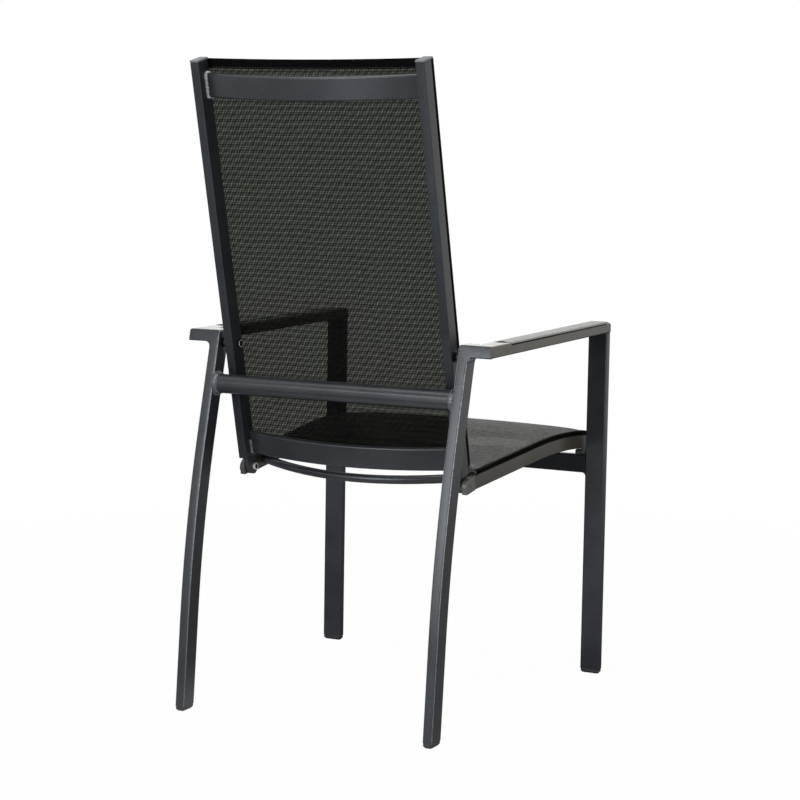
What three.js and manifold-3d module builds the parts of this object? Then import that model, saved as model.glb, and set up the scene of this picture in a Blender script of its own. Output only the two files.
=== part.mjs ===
// Reclining sling chair for a patio: a welded aluminium base frame with fixed armrests, a high mesh
// back that turns on bolts in the rear legs, and a mesh seat pinned to the back's lower ends that
// slides on glides over the front cross rail. Millimetres, X across, Y towards the back, Z up.
// Y = 0 is a line across the seat; the finished chair is centred on its own box at the end.
import * as THREE from 'three';
import { mergeVertices } from 'three/addons/utils/BufferGeometryUtils.js';
import Module from 'manifold-3d';

// Fits and small values that many pieces share
const fit_gap = 0.3;
const overrun = 6;
const weld_tolerance = 0.0001;
const quarter_turn = 90;
const half_turn = quarter_turn * 2;
const full_turn = half_turn * 2;
const corner_steps = 3;
const round_sides = 20;
const bar_sides = 12;
const tube_sides = 32;

// Armrests and front legs
const arm_half_width = 284;
const arm_width = 36;
const arm_tube_height = 15.6;
const arm_tube_top = 629.4;
const arm_crown = 4.4;
const arm_shoulder_radius = 4;
const arm_nose_radius = 5;
const arm_nose_drop = 3;
const leg_depth = 16;
const leg_edge_radius = 2.6;
const tube_wall = 2;
const front_leg_foot_front = -249.1;
const front_leg_lean_angle = 1.32;
const slat_rear = 148;
const slat_setback = 6;
const slat_joint = 1.2;

// Rear legs
const neck_reach = 41;
const rear_leg_width = 18;
const rear_leg_depth = 32.4;
const rear_leg_edge_radius = 3;
const rear_leg_foot_back = 342.5;
const rear_leg_lower_rake_angle = 6.1;
const rear_leg_upper_rake_angle = 15;
const rear_leg_bend_start = 157;
const rear_leg_bend_end = 471;
const rear_leg_bend_steps = 14;
const neck_fillet = 9;
const neck_corner_radius = 4;
const neck_steps = 6;

// Feet
const foot_height = 8;
const foot_chamfer = 3;
const foot_inset = 0.6;
const foot_stem = 22;

// Cross members
const cross_tube_radius = 16.6;
const cross_tube_below_arm = 69.2;
const cross_tube_collar = 5;
const cross_tube_collar_length = 4;
const collar_middle_share = 0.25;
const cross_rail_below_arm = 219.3;
const cross_rail_height = 32.7;
const cross_rail_fillet = 5;
const fillet_middle_share = 1 / 3;
const glide_width = 12;
const glide_length = 14;
const glide_clearance = 1.2;
const glide_height = 8.2;
const glide_edge_radius = 2;

// Back pivot: hex bolt through the back rail and a spacer bush into the rear leg
const back_pivot_below_arm = 2.2;
const back_pivot_from_leg_front = 10.5;
const bolt_radius = 3;
const bolt_head_flats = 10;
const bolt_head_height = 4;
const bolt_head_sides = 6;
const bush_radius = 8;
const insert_radius = 4.6;
const insert_length = 9;
const insert_flange_radius = 6.4;
const insert_flange = 1;

// Sling rails
const rail_width = 16;
const rail_depth = 31;
const rail_edge_radius = 1.6;
const rail_wall = 1.8;
const groove_from_face = 6.2;
const groove_slot = 2.6;
const groove_lip = 1.8;
const groove_radius = 2.5;
const groove_steps = 8;
const spline_radius = 2;

// Back frame, laid out from the back pivot: up the rail, and forward from it
const back_rail_side_gap = 11.2;
const back_rake_angle = 12.4;
const back_rail_above_pivot = 486.2;
const back_rail_below_pivot = 202;
const back_pivot_from_face = 12.5;
const cap_thickness = 3.2;
const cap_overhang = 0.4;
const cap_stem = 20;
const back_bar_height = 39.4;
const back_bar_thickness = 11;
const back_bar_edge_radius = 3.5;
const back_bar_bow = 29;
const back_bar_steps = 16;
const back_bar_from_face = 9.5;
const top_bar_from_end = 44.2;
const bottom_bar_from_end = 25;
const back_sling_top_inset = 3;
const back_sling_bottom_inset = 12;

// Seat pivot
const pivot_spacing = 222.6;
const seat_pivot_from_face = 11.5;
const back_lug_thickness = 8;
const back_lug_radius = 13;
const back_lug_stem = 40;
const washer_thickness = 1.4;
const washer_radius = 8;
const seat_lug_thickness = 9;
const seat_lug_radius = 13.5;
const seat_lug_stem = 34;
const lug_steps = 10;

// Seat frame, laid out from the seat pivot
const seat_rail_rear = 18;
const seat_rail_above_pivot = 6.6;
const seat_front_overhang = 39.8;
const seat_crest_radius = 900;
const seat_crest_angle = 11;
const seat_front_radius = 62;
const seat_front_angle = 38;
const seat_side_gap = 5.7;
const seat_rail_steps = 6;
const rake_steps = 30;
const rake_least_angle = -10;
const rake_most_angle = 30;
const seat_bar_radius = 7.5;
const seat_rear_bar_from_pivot = 40.6;
const seat_rear_bar_bow = 53;
const seat_rear_bar_dip = 10;
const seat_bar_above_edge = 15.2;
const seat_bar_steps = 18;
const seat_front_bar_back = 26;
const seat_sling_rear_inset = 4;

// Slings
const sling_thickness = 1.2;
const sling_in_groove = 1.4;

const wasm = await Module();
wasm.setup();

const rad = THREE.MathUtils.degToRad;
const sides = [['left', 1], ['right', -1]];

// Finishes
const coat = { color: 0x4c4e50, roughness: 0.55, metalness: 0.35 };
const paint = () => new THREE.MeshStandardMaterial(coat);
const slatPaint = () => new THREE.MeshStandardMaterial({ color: 0x8a8b88, roughness: 0.6, metalness: 0.1 });
const plastic = () => new THREE.MeshStandardMaterial({ color: 0x3a3c3d, roughness: 0.6, metalness: 0 });
const steel = () => new THREE.MeshStandardMaterial({ color: 0xc4c6c8, roughness: 0.3, metalness: 1 });
const mesh = () => new THREE.MeshStandardMaterial({ color: 0x2e312b, roughness: 0.85, metalness: 0 });

const chair = new THREE.Group();

function addPiece(parent, name, geometry, material) {
  const piece = new THREE.Mesh(geometry, material);
  piece.name = name;
  parent.add(piece);
  return piece;
}

// Solid made from a closed geometry, ready to be joined or cut
function solidOf(geometry) {
  const bare = geometry.clone();
  bare.deleteAttribute('normal');
  bare.deleteAttribute('uv');
  const merged = mergeVertices(bare, weld_tolerance);
  const vertProperties = new Float32Array(merged.attributes.position.array);
  const triVerts = new Uint32Array(merged.index.array);
  return new wasm.Manifold(new wasm.Mesh({ numProp: 3, vertProperties, triVerts }));
}

function geometryOf(solid) {
  const got = solid.getMesh();
  const geometry = new THREE.BufferGeometry();
  geometry.setAttribute('position', new THREE.BufferAttribute(got.vertProperties, got.numProp));
  geometry.setIndex(new THREE.BufferAttribute(got.triVerts, 1));
  geometry.computeVertexNormals();
  return geometry;
}

function cut(geometry, ...tools) {
  return geometryOf(tools.reduce((body, tool) => body.subtract(solidOf(tool)), solidOf(geometry)));
}

function join(geometry, ...others) {
  return geometryOf(others.reduce((body, other) => body.add(solidOf(other)), solidOf(geometry)));
}

// Mirrored or reversed bodies get their faces turned outward again
function facingOut(geometry) {
  const p = geometry.attributes.position;
  const index = geometry.index.array;
  const a = new THREE.Vector3();
  const b = new THREE.Vector3();
  const c = new THREE.Vector3();
  let volume = 0;
  for (let i = 0; i < index.length; i += 3) {
    a.fromBufferAttribute(p, index[i]);
    b.fromBufferAttribute(p, index[i + 1]);
    c.fromBufferAttribute(p, index[i + 2]);
    volume += a.dot(b.cross(c));
  }
  if (volume < 0) {
    for (let i = 0; i < index.length; i += 3) {
      [index[i], index[i + 1]] = [index[i + 1], index[i]];
    }
  }
  geometry.computeVertexNormals();
  return geometry;
}

// Closed body through rings of equal counts; the first ring's outline gives the end caps
function loft(rings, outline) {
  const positions = [];
  const indices = [];
  const count = outline.length;
  rings.forEach((ring) => ring.forEach((p) => positions.push(p.x, p.y, p.z)));
  for (let i = 0; i + 1 < rings.length; i += 1) {
    for (let j = 0; j < count; j += 1) {
      const a = i * count + j;
      const b = i * count + ((j + 1) % count);
      indices.push(a, b, b + count, a, b + count, a + count);
    }
  }
  const last = (rings.length - 1) * count;
  THREE.ShapeUtils.triangulateShape(outline, []).forEach(([a, b, c]) => {
    indices.push(c, b, a, last + a, last + b, last + c);
  });
  const geometry = new THREE.BufferGeometry();
  geometry.setAttribute('position', new THREE.Float32BufferAttribute(positions, 3));
  geometry.setIndex(indices);
  return facingOut(geometry);
}

// Points of an arc about a centre, both ends included
function arcPoints(centre, radius, from, to, steps) {
  const points = [];
  for (let i = 0; i <= steps; i += 1) {
    const angle = rad(from + ((to - from) * i) / steps);
    const spoke = new THREE.Vector2(Math.cos(angle), Math.sin(angle));
    points.push(spoke.multiplyScalar(radius).add(centre));
  }
  return points;
}

// Rectangle outline with round corners, centred, or between the given edges
function roundedBox(left, right, bottom, top, radius, steps = corner_steps) {
  const corner = (x, y, from) => arcPoints(
    new THREE.Vector2(x, y), radius, from, from + quarter_turn, steps,
  );
  return [
    ...corner(right - radius, bottom + radius, -quarter_turn),
    ...corner(right - radius, top - radius, 0),
    ...corner(left + radius, top - radius, quarter_turn),
    ...corner(left + radius, bottom + radius, half_turn),
  ];
}

function cylinderAlongX(radius, from, to, y, z, count = round_sides) {
  const geometry = new THREE.CylinderGeometry(radius, radius, Math.abs(to - from), count);
  geometry.rotateZ(rad(quarter_turn));
  geometry.translate((from + to) / 2, y, z);
  return geometry;
}

function boxBetween(x0, x1, y0, y1, z0, z1) {
  const geometry = new THREE.BoxGeometry(Math.abs(x1 - x0), Math.abs(y1 - y0), Math.abs(z1 - z0));
  geometry.translate((x0 + x1) / 2, (y0 + y1) / 2, (z0 + z1) / 2);
  return geometry;
}

// Rear face of a rear leg at a height: straight, an even bend, straight again
const lowerSlope = Math.tan(rad(rear_leg_lower_rake_angle));
const upperSlope = Math.tan(rad(rear_leg_upper_rake_angle));
function rearLegBack(z) {
  const bend = rear_leg_bend_end - rear_leg_bend_start;
  const along = THREE.MathUtils.clamp(z - rear_leg_bend_start, 0, bend);
  const above = Math.max(z - rear_leg_bend_end, 0);
  const below = Math.min(z, rear_leg_bend_start);
  const bent = lowerSlope * along + ((upperSlope - lowerSlope) * along * along) / (bend * 2);
  return rear_leg_foot_back - lowerSlope * below - bent - upperSlope * above;
}

// Heights and places that several pieces take from the sizes above
const armTop = arm_tube_top + arm_crown;
const armBottom = arm_tube_top - arm_tube_height;
const armInner = arm_half_width - arm_width;
const crossTubeZ = armBottom - cross_tube_below_arm;
const crossRailTop = armBottom - cross_rail_below_arm;
const crossRailBottom = crossRailTop - cross_rail_height;
const backPivotZ = armBottom - back_pivot_below_arm;
const rearLegOuter = arm_half_width - neck_reach;
const rearLegInner = rearLegOuter - rear_leg_width;
const legSlope = Math.tan(rad(front_leg_lean_angle));
const frontLegFront = (z) => front_leg_foot_front - legSlope * z;
const rearLegFront = (z) => rearLegBack(z) - rear_leg_depth;
const armFront = frontLegFront(arm_tube_top);
const backPivotY = rearLegFront(backPivotZ) + back_pivot_from_leg_front;

// Front leg: flat tube that leans forward a little, open at the foot for its plug
function frontLeg(side) {
  const ring = (z, inset) => roundedBox(
    armInner + inset,
    arm_half_width - inset,
    frontLegFront(z) + inset,
    frontLegFront(z) + leg_depth - inset,
    leg_edge_radius,
  ).map((p) => new THREE.Vector3(side * p.x, p.y, z));
  const outline = roundedBox(armInner, arm_half_width, 0, leg_depth, leg_edge_radius);
  const pocketTop = foot_height + foot_stem + fit_gap;
  const tube = loft([ring(foot_height, 0), ring(armBottom, 0)], outline);
  const pocket = loft([ring(foot_height - overrun, tube_wall), ring(pocketTop, tube_wall)], outline);
  return cut(tube, pocket);
}

// Rear leg: the inner and the outer edge of the flat tube, seen from the front, turn outward at the
// top round a tight corner, and the whole follows the bend of the leg's rear face
function rearLeg(side) {
  const stations = [];
  const straight = (z) => stations.push([[rearLegInner, z], [rearLegOuter, z]]);
  straight(foot_height);
  for (let i = 0; i <= rear_leg_bend_steps; i += 1) {
    straight(THREE.MathUtils.lerp(rear_leg_bend_start, rear_leg_bend_end, i / rear_leg_bend_steps));
  }
  straight(crossTubeZ + cross_tube_radius);
  straight(armBottom - neck_fillet);
  const outerArc = arcPoints(
    new THREE.Vector2(rearLegInner + neck_corner_radius, armTop - neck_corner_radius),
    neck_corner_radius, half_turn, quarter_turn, neck_steps,
  );
  const innerArc = arcPoints(
    new THREE.Vector2(rearLegOuter + neck_fillet, armBottom - neck_fillet),
    neck_fillet, half_turn, quarter_turn, neck_steps,
  );
  outerArc.forEach((p, i) => stations.push([[p.x, p.y], [innerArc[i].x, innerArc[i].y]]));
  stations.push([[arm_half_width, armTop], [arm_half_width, armBottom]]);
  const sectionOf = (width, inset) => roundedBox(
    inset, width - inset, inset, rear_leg_depth - inset, rear_leg_edge_radius,
  );
  const ringOf = ([outer, inner], inset = 0) => {
    const from = new THREE.Vector2(...outer);
    const across = new THREE.Vector2(...inner).sub(from);
    const width = across.length();
    across.normalize();
    return sectionOf(width, inset).map((p) => {
      const x = from.x + across.x * p.x;
      const z = from.y + across.y * p.x;
      return new THREE.Vector3(side * x, rearLegBack(z) - p.y, z);
    });
  };
  const outline = sectionOf(rear_leg_width, 0);
  const leg = loft(stations.map((station) => ringOf(station)), outline);
  const level = (z) => [[rearLegInner, z], [rearLegOuter, z]];
  const pocketTop = foot_height + foot_stem + fit_gap;
  const pocket = loft(
    [ringOf(level(foot_height - overrun), tube_wall), ringOf(level(pocketTop), tube_wall)], outline,
  );
  const insertHole = cylinderAlongX(
    insert_radius + fit_gap,
    side * (rearLegInner - overrun),
    side * (rearLegInner + insert_length + fit_gap),
    backPivotY,
    backPivotZ,
  );
  return cut(leg, pocket, insertHole, neckMitre(side, 1));
}

// Prism that cuts the mitre between the rear leg's turned top and the arm rail, seen from above:
// keep = 1 removes the arm rail's side, keep = -1 the rear leg's side
function neckMitre(side, keep) {
  const back = rearLegBack(armTop);
  const front = rearLegFront(armBottom);
  const reach = arm_width + overrun;
  const slope = (back - front) / arm_width;
  const shift = keep * (fit_gap / 2);
  const nearX = armInner - overrun;
  const farX = arm_half_width + overrun;
  const lineY = (x) => front + slope * (x - armInner) + shift;
  const shape = new THREE.Shape();
  shape.moveTo(side * nearX, lineY(nearX));
  shape.lineTo(side * farX, lineY(farX));
  shape.lineTo(side * farX, lineY(farX) - keep * reach * 2);
  shape.lineTo(side * nearX, lineY(nearX) - keep * reach * 2);
  const height = arm_tube_height + arm_crown + overrun * 2;
  const prism = new THREE.ExtrudeGeometry(shape, { depth: height, bevelEnabled: false });
  prism.translate(0, 0, armBottom - overrun);
  return prism;
}

// Section of the arm rail seen from the front: flat underside, crowned top with round shoulders
function armOutline(top) {
  const shoulder = arm_shoulder_radius;
  const half = arm_width / 2;
  const low = armBottom + leg_edge_radius;
  const corner = (x, y, radius, from) => arcPoints(
    new THREE.Vector2(x, y), radius, from, from + quarter_turn, corner_steps,
  );
  return [
    ...corner(half - leg_edge_radius, low, leg_edge_radius, -quarter_turn),
    ...corner(half - shoulder, top - shoulder, shoulder, 0),
    ...corner(shoulder - half, top - shoulder, shoulder, quarter_turn),
    ...corner(leg_edge_radius - half, low, leg_edge_radius, half_turn),
  ];
}

// Arm rail: crowned flat tube with a rounded nose, a mitred rear end and a rebate for the slat
function armRail(side) {
  const middle = side * (arm_half_width - arm_width / 2);
  const outline = armOutline(armTop);
  const ringAt = (y, drop) => outline.map((p) => {
    const z = Math.min(p.y, armTop - drop);
    return new THREE.Vector3(middle + side * p.x, y, z);
  });
  const rear = rearLegBack(armTop);
  const nose = arcPoints(new THREE.Vector2(0, 0), arm_nose_radius, half_turn, quarter_turn, neck_steps);
  const rings = nose.map((p) => ringAt(
    armFront + arm_nose_radius + p.x,
    arm_nose_drop + arm_nose_radius - p.y,
  ));
  rings.push(ringAt(rear, 0));
  const rail = loft(rings, outline);
  const rebate = boxBetween(
    side * (armInner - overrun), side * (arm_half_width + overrun),
    armFront + slat_setback, slat_rear, arm_tube_top, armTop + overrun,
  );
  const squareEnd = boxBetween(
    side * (armInner - overrun), side * (arm_half_width + overrun),
    rear, rear + overrun, armBottom - overrun, armTop + overrun,
  );
  return cut(rail, rebate, squareEnd, neckMitre(side, -1), rearBevel(side));
}

// Wedge that trims the arm rail's rear end to the rake of the rear leg's rear face
function rearBevel(side) {
  const shape = new THREE.Shape();
  const low = armBottom - overrun;
  const high = armTop + overrun;
  shape.moveTo(rearLegBack(low) - fit_gap, low);
  shape.lineTo(rearLegBack(low) + rear_leg_depth, low);
  shape.lineTo(rearLegBack(low) + rear_leg_depth, high);
  shape.lineTo(rearLegBack(high) - fit_gap, high);
  const wedge = new THREE.ExtrudeGeometry(shape, { depth: arm_width + overrun * 2, bevelEnabled: false });
  wedge.rotateX(rad(quarter_turn));
  wedge.rotateZ(rad(quarter_turn));
  wedge.translate(side * (arm_half_width - arm_width / 2) - arm_width / 2 - overrun, 0, 0);
  return wedge;
}

// Slat let into the arm rail's top, with round shoulders and a rounded front end
function armSlat(side) {
  const middle = side * (arm_half_width - arm_width / 2);
  const base = arm_tube_top;
  const half = arm_width / 2 - fit_gap;
  const shoulder = Math.min(arm_shoulder_radius, arm_crown - fit_gap);
  const corner = (x, from) => arcPoints(
    new THREE.Vector2(x, armTop - shoulder), shoulder, from, from + quarter_turn, corner_steps,
  );
  const outline = [
    new THREE.Vector2(-half, base),
    new THREE.Vector2(half, base),
    ...corner(half - shoulder, 0),
    ...corner(shoulder - half, quarter_turn),
  ];
  const front = armFront + slat_setback + slat_joint;
  const rise = arm_crown - fit_gap;
  const nose = arcPoints(new THREE.Vector2(0, 0), rise, half_turn, quarter_turn, corner_steps);
  const rings = nose.map((p) => outline.map((q) => new THREE.Vector3(
    middle + side * q.x,
    front + rise + p.x,
    Math.min(q.y, base + fit_gap + p.y),
  )));
  rings.push(outline.map((q) => new THREE.Vector3(middle + side * q.x, slat_rear - slat_joint, q.y)));
  return loft(rings, outline);
}

// Foot plug: a chamfered sole under the tube and a stem inside it; the tube's section at a height is
// given by its edges [left, right, front, back]
function footPlug(side, edgesAt, radius) {
  const ringAt = (z, inset) => {
    const [left, right, front, back] = edgesAt(z);
    return roundedBox(left + inset, right - inset, front + inset, back - inset, radius)
      .map((p) => new THREE.Vector3(side * p.x, p.y, z));
  };
  const [left, right, front, back] = edgesAt(0);
  const outline = roundedBox(left, right, front, back, radius);
  const sole = loft([
    ringAt(0, foot_chamfer),
    ringAt(foot_chamfer, foot_inset),
    ringAt(foot_height - fit_gap, foot_inset),
  ], outline);
  const stemInset = tube_wall + fit_gap;
  const stem = loft([
    ringAt(foot_chamfer, stemInset),
    ringAt(foot_height + foot_stem, stemInset),
  ], outline);
  return join(sole, stem);
}

// Rear cross tube with a flared weld collar at each end
function rearCrossTube() {
  const end = rearLegInner;
  const flare = cross_tube_radius - fit_gap + cross_tube_collar;
  const collarStart = end - cross_tube_collar_length;
  const collarMiddle = cross_tube_radius + cross_tube_collar * collar_middle_share;
  const profile = [
    new THREE.Vector2(0, -end),
    new THREE.Vector2(flare, -end),
    new THREE.Vector2(collarMiddle, -end + cross_tube_collar_length / 2),
    new THREE.Vector2(cross_tube_radius, -collarStart),
    new THREE.Vector2(cross_tube_radius, collarStart),
    new THREE.Vector2(collarMiddle, end - cross_tube_collar_length / 2),
    new THREE.Vector2(flare, end),
    new THREE.Vector2(0, end),
  ];
  const tube = new THREE.LatheGeometry(profile, tube_sides);
  tube.rotateZ(rad(quarter_turn));
  const centre = rearLegBack(crossTubeZ) - rear_leg_depth / 2;
  tube.translate(0, centre, crossTubeZ);
  const ends = rear_leg_depth / 2;
  const spare = flare + overrun;
  const keep = solidOf(boxBetween(
    -end, end, centre - ends, centre + ends, crossTubeZ - spare, crossTubeZ + spare,
  ));
  return geometryOf(solidOf(tube).intersect(keep));
}

// Front cross rail: flat tube with a small weld fillet at each end
function frontCrossRail() {
  const end = armInner;
  const front = frontLegFront((crossRailBottom + crossRailTop) / 2);
  const section = (grow) => roundedBox(
    front, front + leg_depth, crossRailBottom - grow, crossRailTop + grow, leg_edge_radius,
  );
  const ringAt = (x, grow) => section(grow).map((p) => new THREE.Vector3(x, p.x, p.y));
  const fillet = cross_rail_fillet;
  const part = fillet * fillet_middle_share;
  const rings = [
    ringAt(-end, fillet), ringAt(-end + part, part), ringAt(-end + fillet, 0),
    ringAt(end - fillet, 0), ringAt(end - part, part), ringAt(end, fillet),
  ];
  return loft(rings, section(0));
}

// Hex-headed bolt along X, its head's outer face at x, its shank running outward by a length
function pivotBolt(side, headFace, shankEnd, y, z) {
  const across = bolt_head_flats / Math.sqrt(3);
  const headBack = headFace + bolt_head_height;
  const head = cylinderAlongX(across, side * headFace, side * headBack, y, z, bolt_head_sides);
  const headMiddle = (headFace + headBack) / 2;
  const shank = cylinderAlongX(bolt_radius, side * headMiddle, side * shankEnd, y, z);
  return join(head, shank);
}

function ringAlongX(side, from, to, outerRadius, holeRadius, y, z) {
  const body = cylinderAlongX(outerRadius, side * from, side * to, y, z);
  const hole = cylinderAlongX(holeRadius, side * (from - overrun), side * (to + overrun), y, z);
  return cut(body, hole);
}

// Section of a sling rail: v is towards the sling's face, x is outward; the groove on the outer side
// takes the sling's edge and its spline
function railOutline() {
  const half = rail_width / 2;
  const face = rail_depth / 2;
  const groove = face - groove_from_face;
  const slotInner = half - groove_lip;
  const centre = new THREE.Vector2(slotInner - groove_radius, groove);
  const mouth = THREE.MathUtils.radToDeg(Math.asin(groove_slot / 2 / groove_radius));
  const corner = (x, y, from) => arcPoints(
    new THREE.Vector2(x, y), rail_edge_radius, from, from + quarter_turn, corner_steps - 1,
  );
  return [
    ...corner(half - rail_edge_radius, rail_edge_radius - face, -quarter_turn),
    new THREE.Vector2(half, groove - groove_slot / 2),
    ...arcPoints(centre, groove_radius, -mouth, mouth - full_turn, groove_steps),
    new THREE.Vector2(half, groove + groove_slot / 2),
    ...corner(half - rail_edge_radius, face - rail_edge_radius, 0),
    ...corner(rail_edge_radius - half, face - rail_edge_radius, quarter_turn),
    ...corner(rail_edge_radius - half, rail_edge_radius - face, half_turn),
  ];
}

const chamberTop = rail_depth / 2 - groove_from_face - groove_radius - rail_wall;
const chamberBottom = rail_wall - rail_depth / 2;
function chamberOutline(inset) {
  const half = rail_width / 2 - rail_wall - inset;
  return roundedBox(-half, half, chamberBottom + inset, chamberTop - inset, rail_edge_radius);
}

const splinePlace = new THREE.Vector2(
  rail_width / 2 - groove_lip - groove_radius,
  rail_depth / 2 - groove_from_face,
);

// Half of a sling's course across a rail, from its edge in the groove to the rail's inner corner:
// x is measured from the rail's middle, v from its middle towards the sling's face
function slingCourse() {
  const half = rail_width / 2 + fit_gap + sling_thickness / 2;
  const face = rail_depth / 2 + fit_gap + sling_thickness / 2;
  const bend = rail_edge_radius + fit_gap + sling_thickness / 2;
  const groove = rail_depth / 2 - groove_from_face;
  return [
    new THREE.Vector2(rail_width / 2 - sling_in_groove, groove),
    new THREE.Vector2(half, groove),
    ...arcPoints(new THREE.Vector2(half - bend, face - bend), bend, 0, quarter_turn, corner_steps),
  ];
}

// Thin closed outline along an open course of points
function ribbon(course, thickness) {
  const left = [];
  const right = [];
  course.forEach((p, i) => {
    const before = course[Math.max(i - 1, 0)];
    const after = course[Math.min(i + 1, course.length - 1)];
    const into = p.clone().sub(before).normalize();
    const out = after.clone().sub(p).normalize();
    if (i === 0) {
      into.copy(out);
    }
    if (i === course.length - 1) {
      out.copy(into);
    }
    const normal = new THREE.Vector2(-into.y - out.y, into.x + out.x).normalize();
    const stretch = thickness / 2 / Math.max(normal.dot(new THREE.Vector2(-into.y, into.x)), thickness / 2);
    left.push(p.clone().addScaledVector(normal, stretch));
    right.push(p.clone().addScaledVector(normal, -stretch));
  });
  return [...right, ...left.reverse()];
}

// Sling section from groove to groove; railMiddle is the distance of a rail's middle from X = 0
function slingOutline(railMiddle) {
  const half = slingCourse();
  const course = [
    ...half.map((p) => new THREE.Vector2(p.x + railMiddle, p.y)),
    ...half.map((p) => new THREE.Vector2(-p.x - railMiddle, p.y)).reverse(),
  ];
  return ribbon(course, sling_thickness);
}

// Backrest, built upright about the back pivot and then raked: local Y is rearward from the pivot
const back = new THREE.Group();
const railFaceY = -back_pivot_from_face;
const railMiddleY = railFaceY + rail_depth / 2;
const backRailOuter = rearLegInner - back_rail_side_gap;
const backRailMiddle = backRailOuter - rail_width / 2;
const backRailInner = backRailOuter - rail_width;
const seatPivotLocalY = railFaceY + seat_pivot_from_face;
const backSlingTop = back_rail_above_pivot - back_sling_top_inset;
const backSlingBottom = back_sling_bottom_inset - back_rail_below_pivot;

function backRing(outline, side, z) {
  return outline.map((p) => new THREE.Vector3(side * (backRailMiddle + p.x), railMiddleY - p.y, z));
}

function backRail(side) {
  const outline = railOutline();
  const chamber = chamberOutline(0);
  const rail = loft([
    backRing(outline, side, -back_rail_below_pivot),
    backRing(outline, side, back_rail_above_pivot - cap_thickness),
  ], outline);
  const bore = loft([
    backRing(chamber, side, -back_rail_below_pivot - overrun),
    backRing(chamber, side, back_rail_above_pivot + overrun),
  ], chamber);
  const hole = cylinderAlongX(
    bolt_radius + fit_gap, side * (backRailInner - overrun), side * (backRailOuter + overrun), 0, 0,
  );
  return cut(rail, bore, hole);
}

function backRailCap(side) {
  const half = rail_width / 2 + cap_overhang;
  const face = rail_depth / 2 + cap_overhang;
  const plate = roundedBox(-half, half, -face, face, rail_edge_radius);
  const plateInset = roundedBox(
    -half + cap_overhang * 2, half - cap_overhang * 2, -face + cap_overhang * 2, face - cap_overhang * 2,
    rail_edge_radius,
  );
  const under = back_rail_above_pivot - cap_thickness + fit_gap;
  const cap = loft([
    backRing(plate, side, under),
    backRing(plate, side, back_rail_above_pivot - cap_overhang * 2),
    backRing(plateInset, side, back_rail_above_pivot),
  ], plate);
  const stem = chamberOutline(fit_gap);
  const plug = loft([
    backRing(stem, side, under - cap_stem),
    backRing(stem, side, under + cap_thickness / 2),
  ], stem);
  return join(cap, plug);
}

// Side outline drawn in Y and Z, given a thickness along X between two distances from the middle
function plateAcross(side, shape, from, to) {
  const plate = new THREE.ExtrudeGeometry(
    shape, { depth: to - from, bevelEnabled: false, curveSegments: lug_steps },
  );
  plate.rotateX(rad(quarter_turn));
  plate.rotateZ(rad(quarter_turn));
  plate.translate(from, 0, 0);
  if (side < 0) {
    plate.scale(-1, 1, 1);
  }
  return facingOut(mergeVertices(withoutShading(plate)));
}

function withoutShading(geometry) {
  geometry.deleteAttribute('normal');
  geometry.deleteAttribute('uv');
  return geometry;
}

function backLug(side) {
  const top = -back_rail_below_pivot - fit_gap;
  const low = -pivot_spacing;
  const shape = new THREE.Shape();
  shape.moveTo(railFaceY + rail_edge_radius, top);
  shape.lineTo(seatPivotLocalY - back_lug_radius, low);
  shape.absarc(seatPivotLocalY, low, back_lug_radius, Math.PI, Math.PI * 2, false);
  shape.lineTo(railFaceY + rail_depth - rail_edge_radius, top);
  const tongue = plateAcross(side, shape, backRailInner, backRailInner + back_lug_thickness);
  const stem = chamberOutline(fit_gap);
  const plug = loft([
    backRing(stem, side, top - fit_gap),
    backRing(stem, side, top + back_lug_stem),
  ], stem);
  const trim = boxBetween(
    side * (backRailInner + back_lug_thickness), side * backRailOuter,
    railFaceY - overrun, railFaceY + rail_depth + overrun, top - overrun, top,
  );
  const hole = cylinderAlongX(
    bolt_radius + fit_gap, side * (backRailInner - overrun), side * (backRailOuter + overrun),
    seatPivotLocalY, low,
  );
  return cut(join(tongue, plug), trim, hole);
}

// Flat bar between the back rails, bowed to the rear
function backBar(middleZ) {
  const end = backRailInner - fit_gap;
  const half = back_bar_height / 2;
  const thick = back_bar_thickness / 2;
  const outline = roundedBox(-thick, thick, middleZ - half, middleZ + half, back_bar_edge_radius);
  const rings = [];
  for (let i = 0; i <= back_bar_steps; i += 1) {
    const across = (i / back_bar_steps) * 2 - 1;
    const y = railFaceY + back_bar_from_face + back_bar_bow * (1 - across * across);
    rings.push(outline.map((p) => new THREE.Vector3(-end * across, y + p.x, p.y)));
  }
  return loft(rings, outline);
}

function backSling() {
  const outline = slingOutline(backRailMiddle);
  const ringAt = (z) => outline.map((p) => new THREE.Vector3(p.x, railMiddleY - p.y, z));
  return loft([ringAt(backSlingBottom), ringAt(backSlingTop)], outline);
}

function rodOutline(place, radius, count) {
  return arcPoints(place, radius, 0, full_turn - full_turn / count, count - 1);
}

function backSpline(side) {
  const outline = rodOutline(splinePlace, spline_radius, groove_steps);
  return loft([
    backRing(outline, side, backSlingBottom),
    backRing(outline, side, backSlingTop),
  ], outline);
}

back.position.set(0, backPivotY, backPivotZ);
back.rotation.x = -rad(back_rake_angle);
back.updateMatrixWorld(true);

// Seat, laid out about the seat pivot: local Y is rearward from it and local Z up
const seat = new THREE.Group();
seat.position.set(0, seatPivotLocalY, -pivot_spacing).applyMatrix4(back.matrixWorld);
const backLugOuter = backRailInner + back_lug_thickness;
const seatLugInner = backLugOuter + fit_gap * 2 + washer_thickness;
const seatLugOuter = seatLugInner + seat_lug_thickness;

const crossRailMiddle = frontLegFront((crossRailBottom + crossRailTop) / 2) + leg_depth / 2;
const glideForward = seat.position.y - crossRailMiddle;

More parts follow.
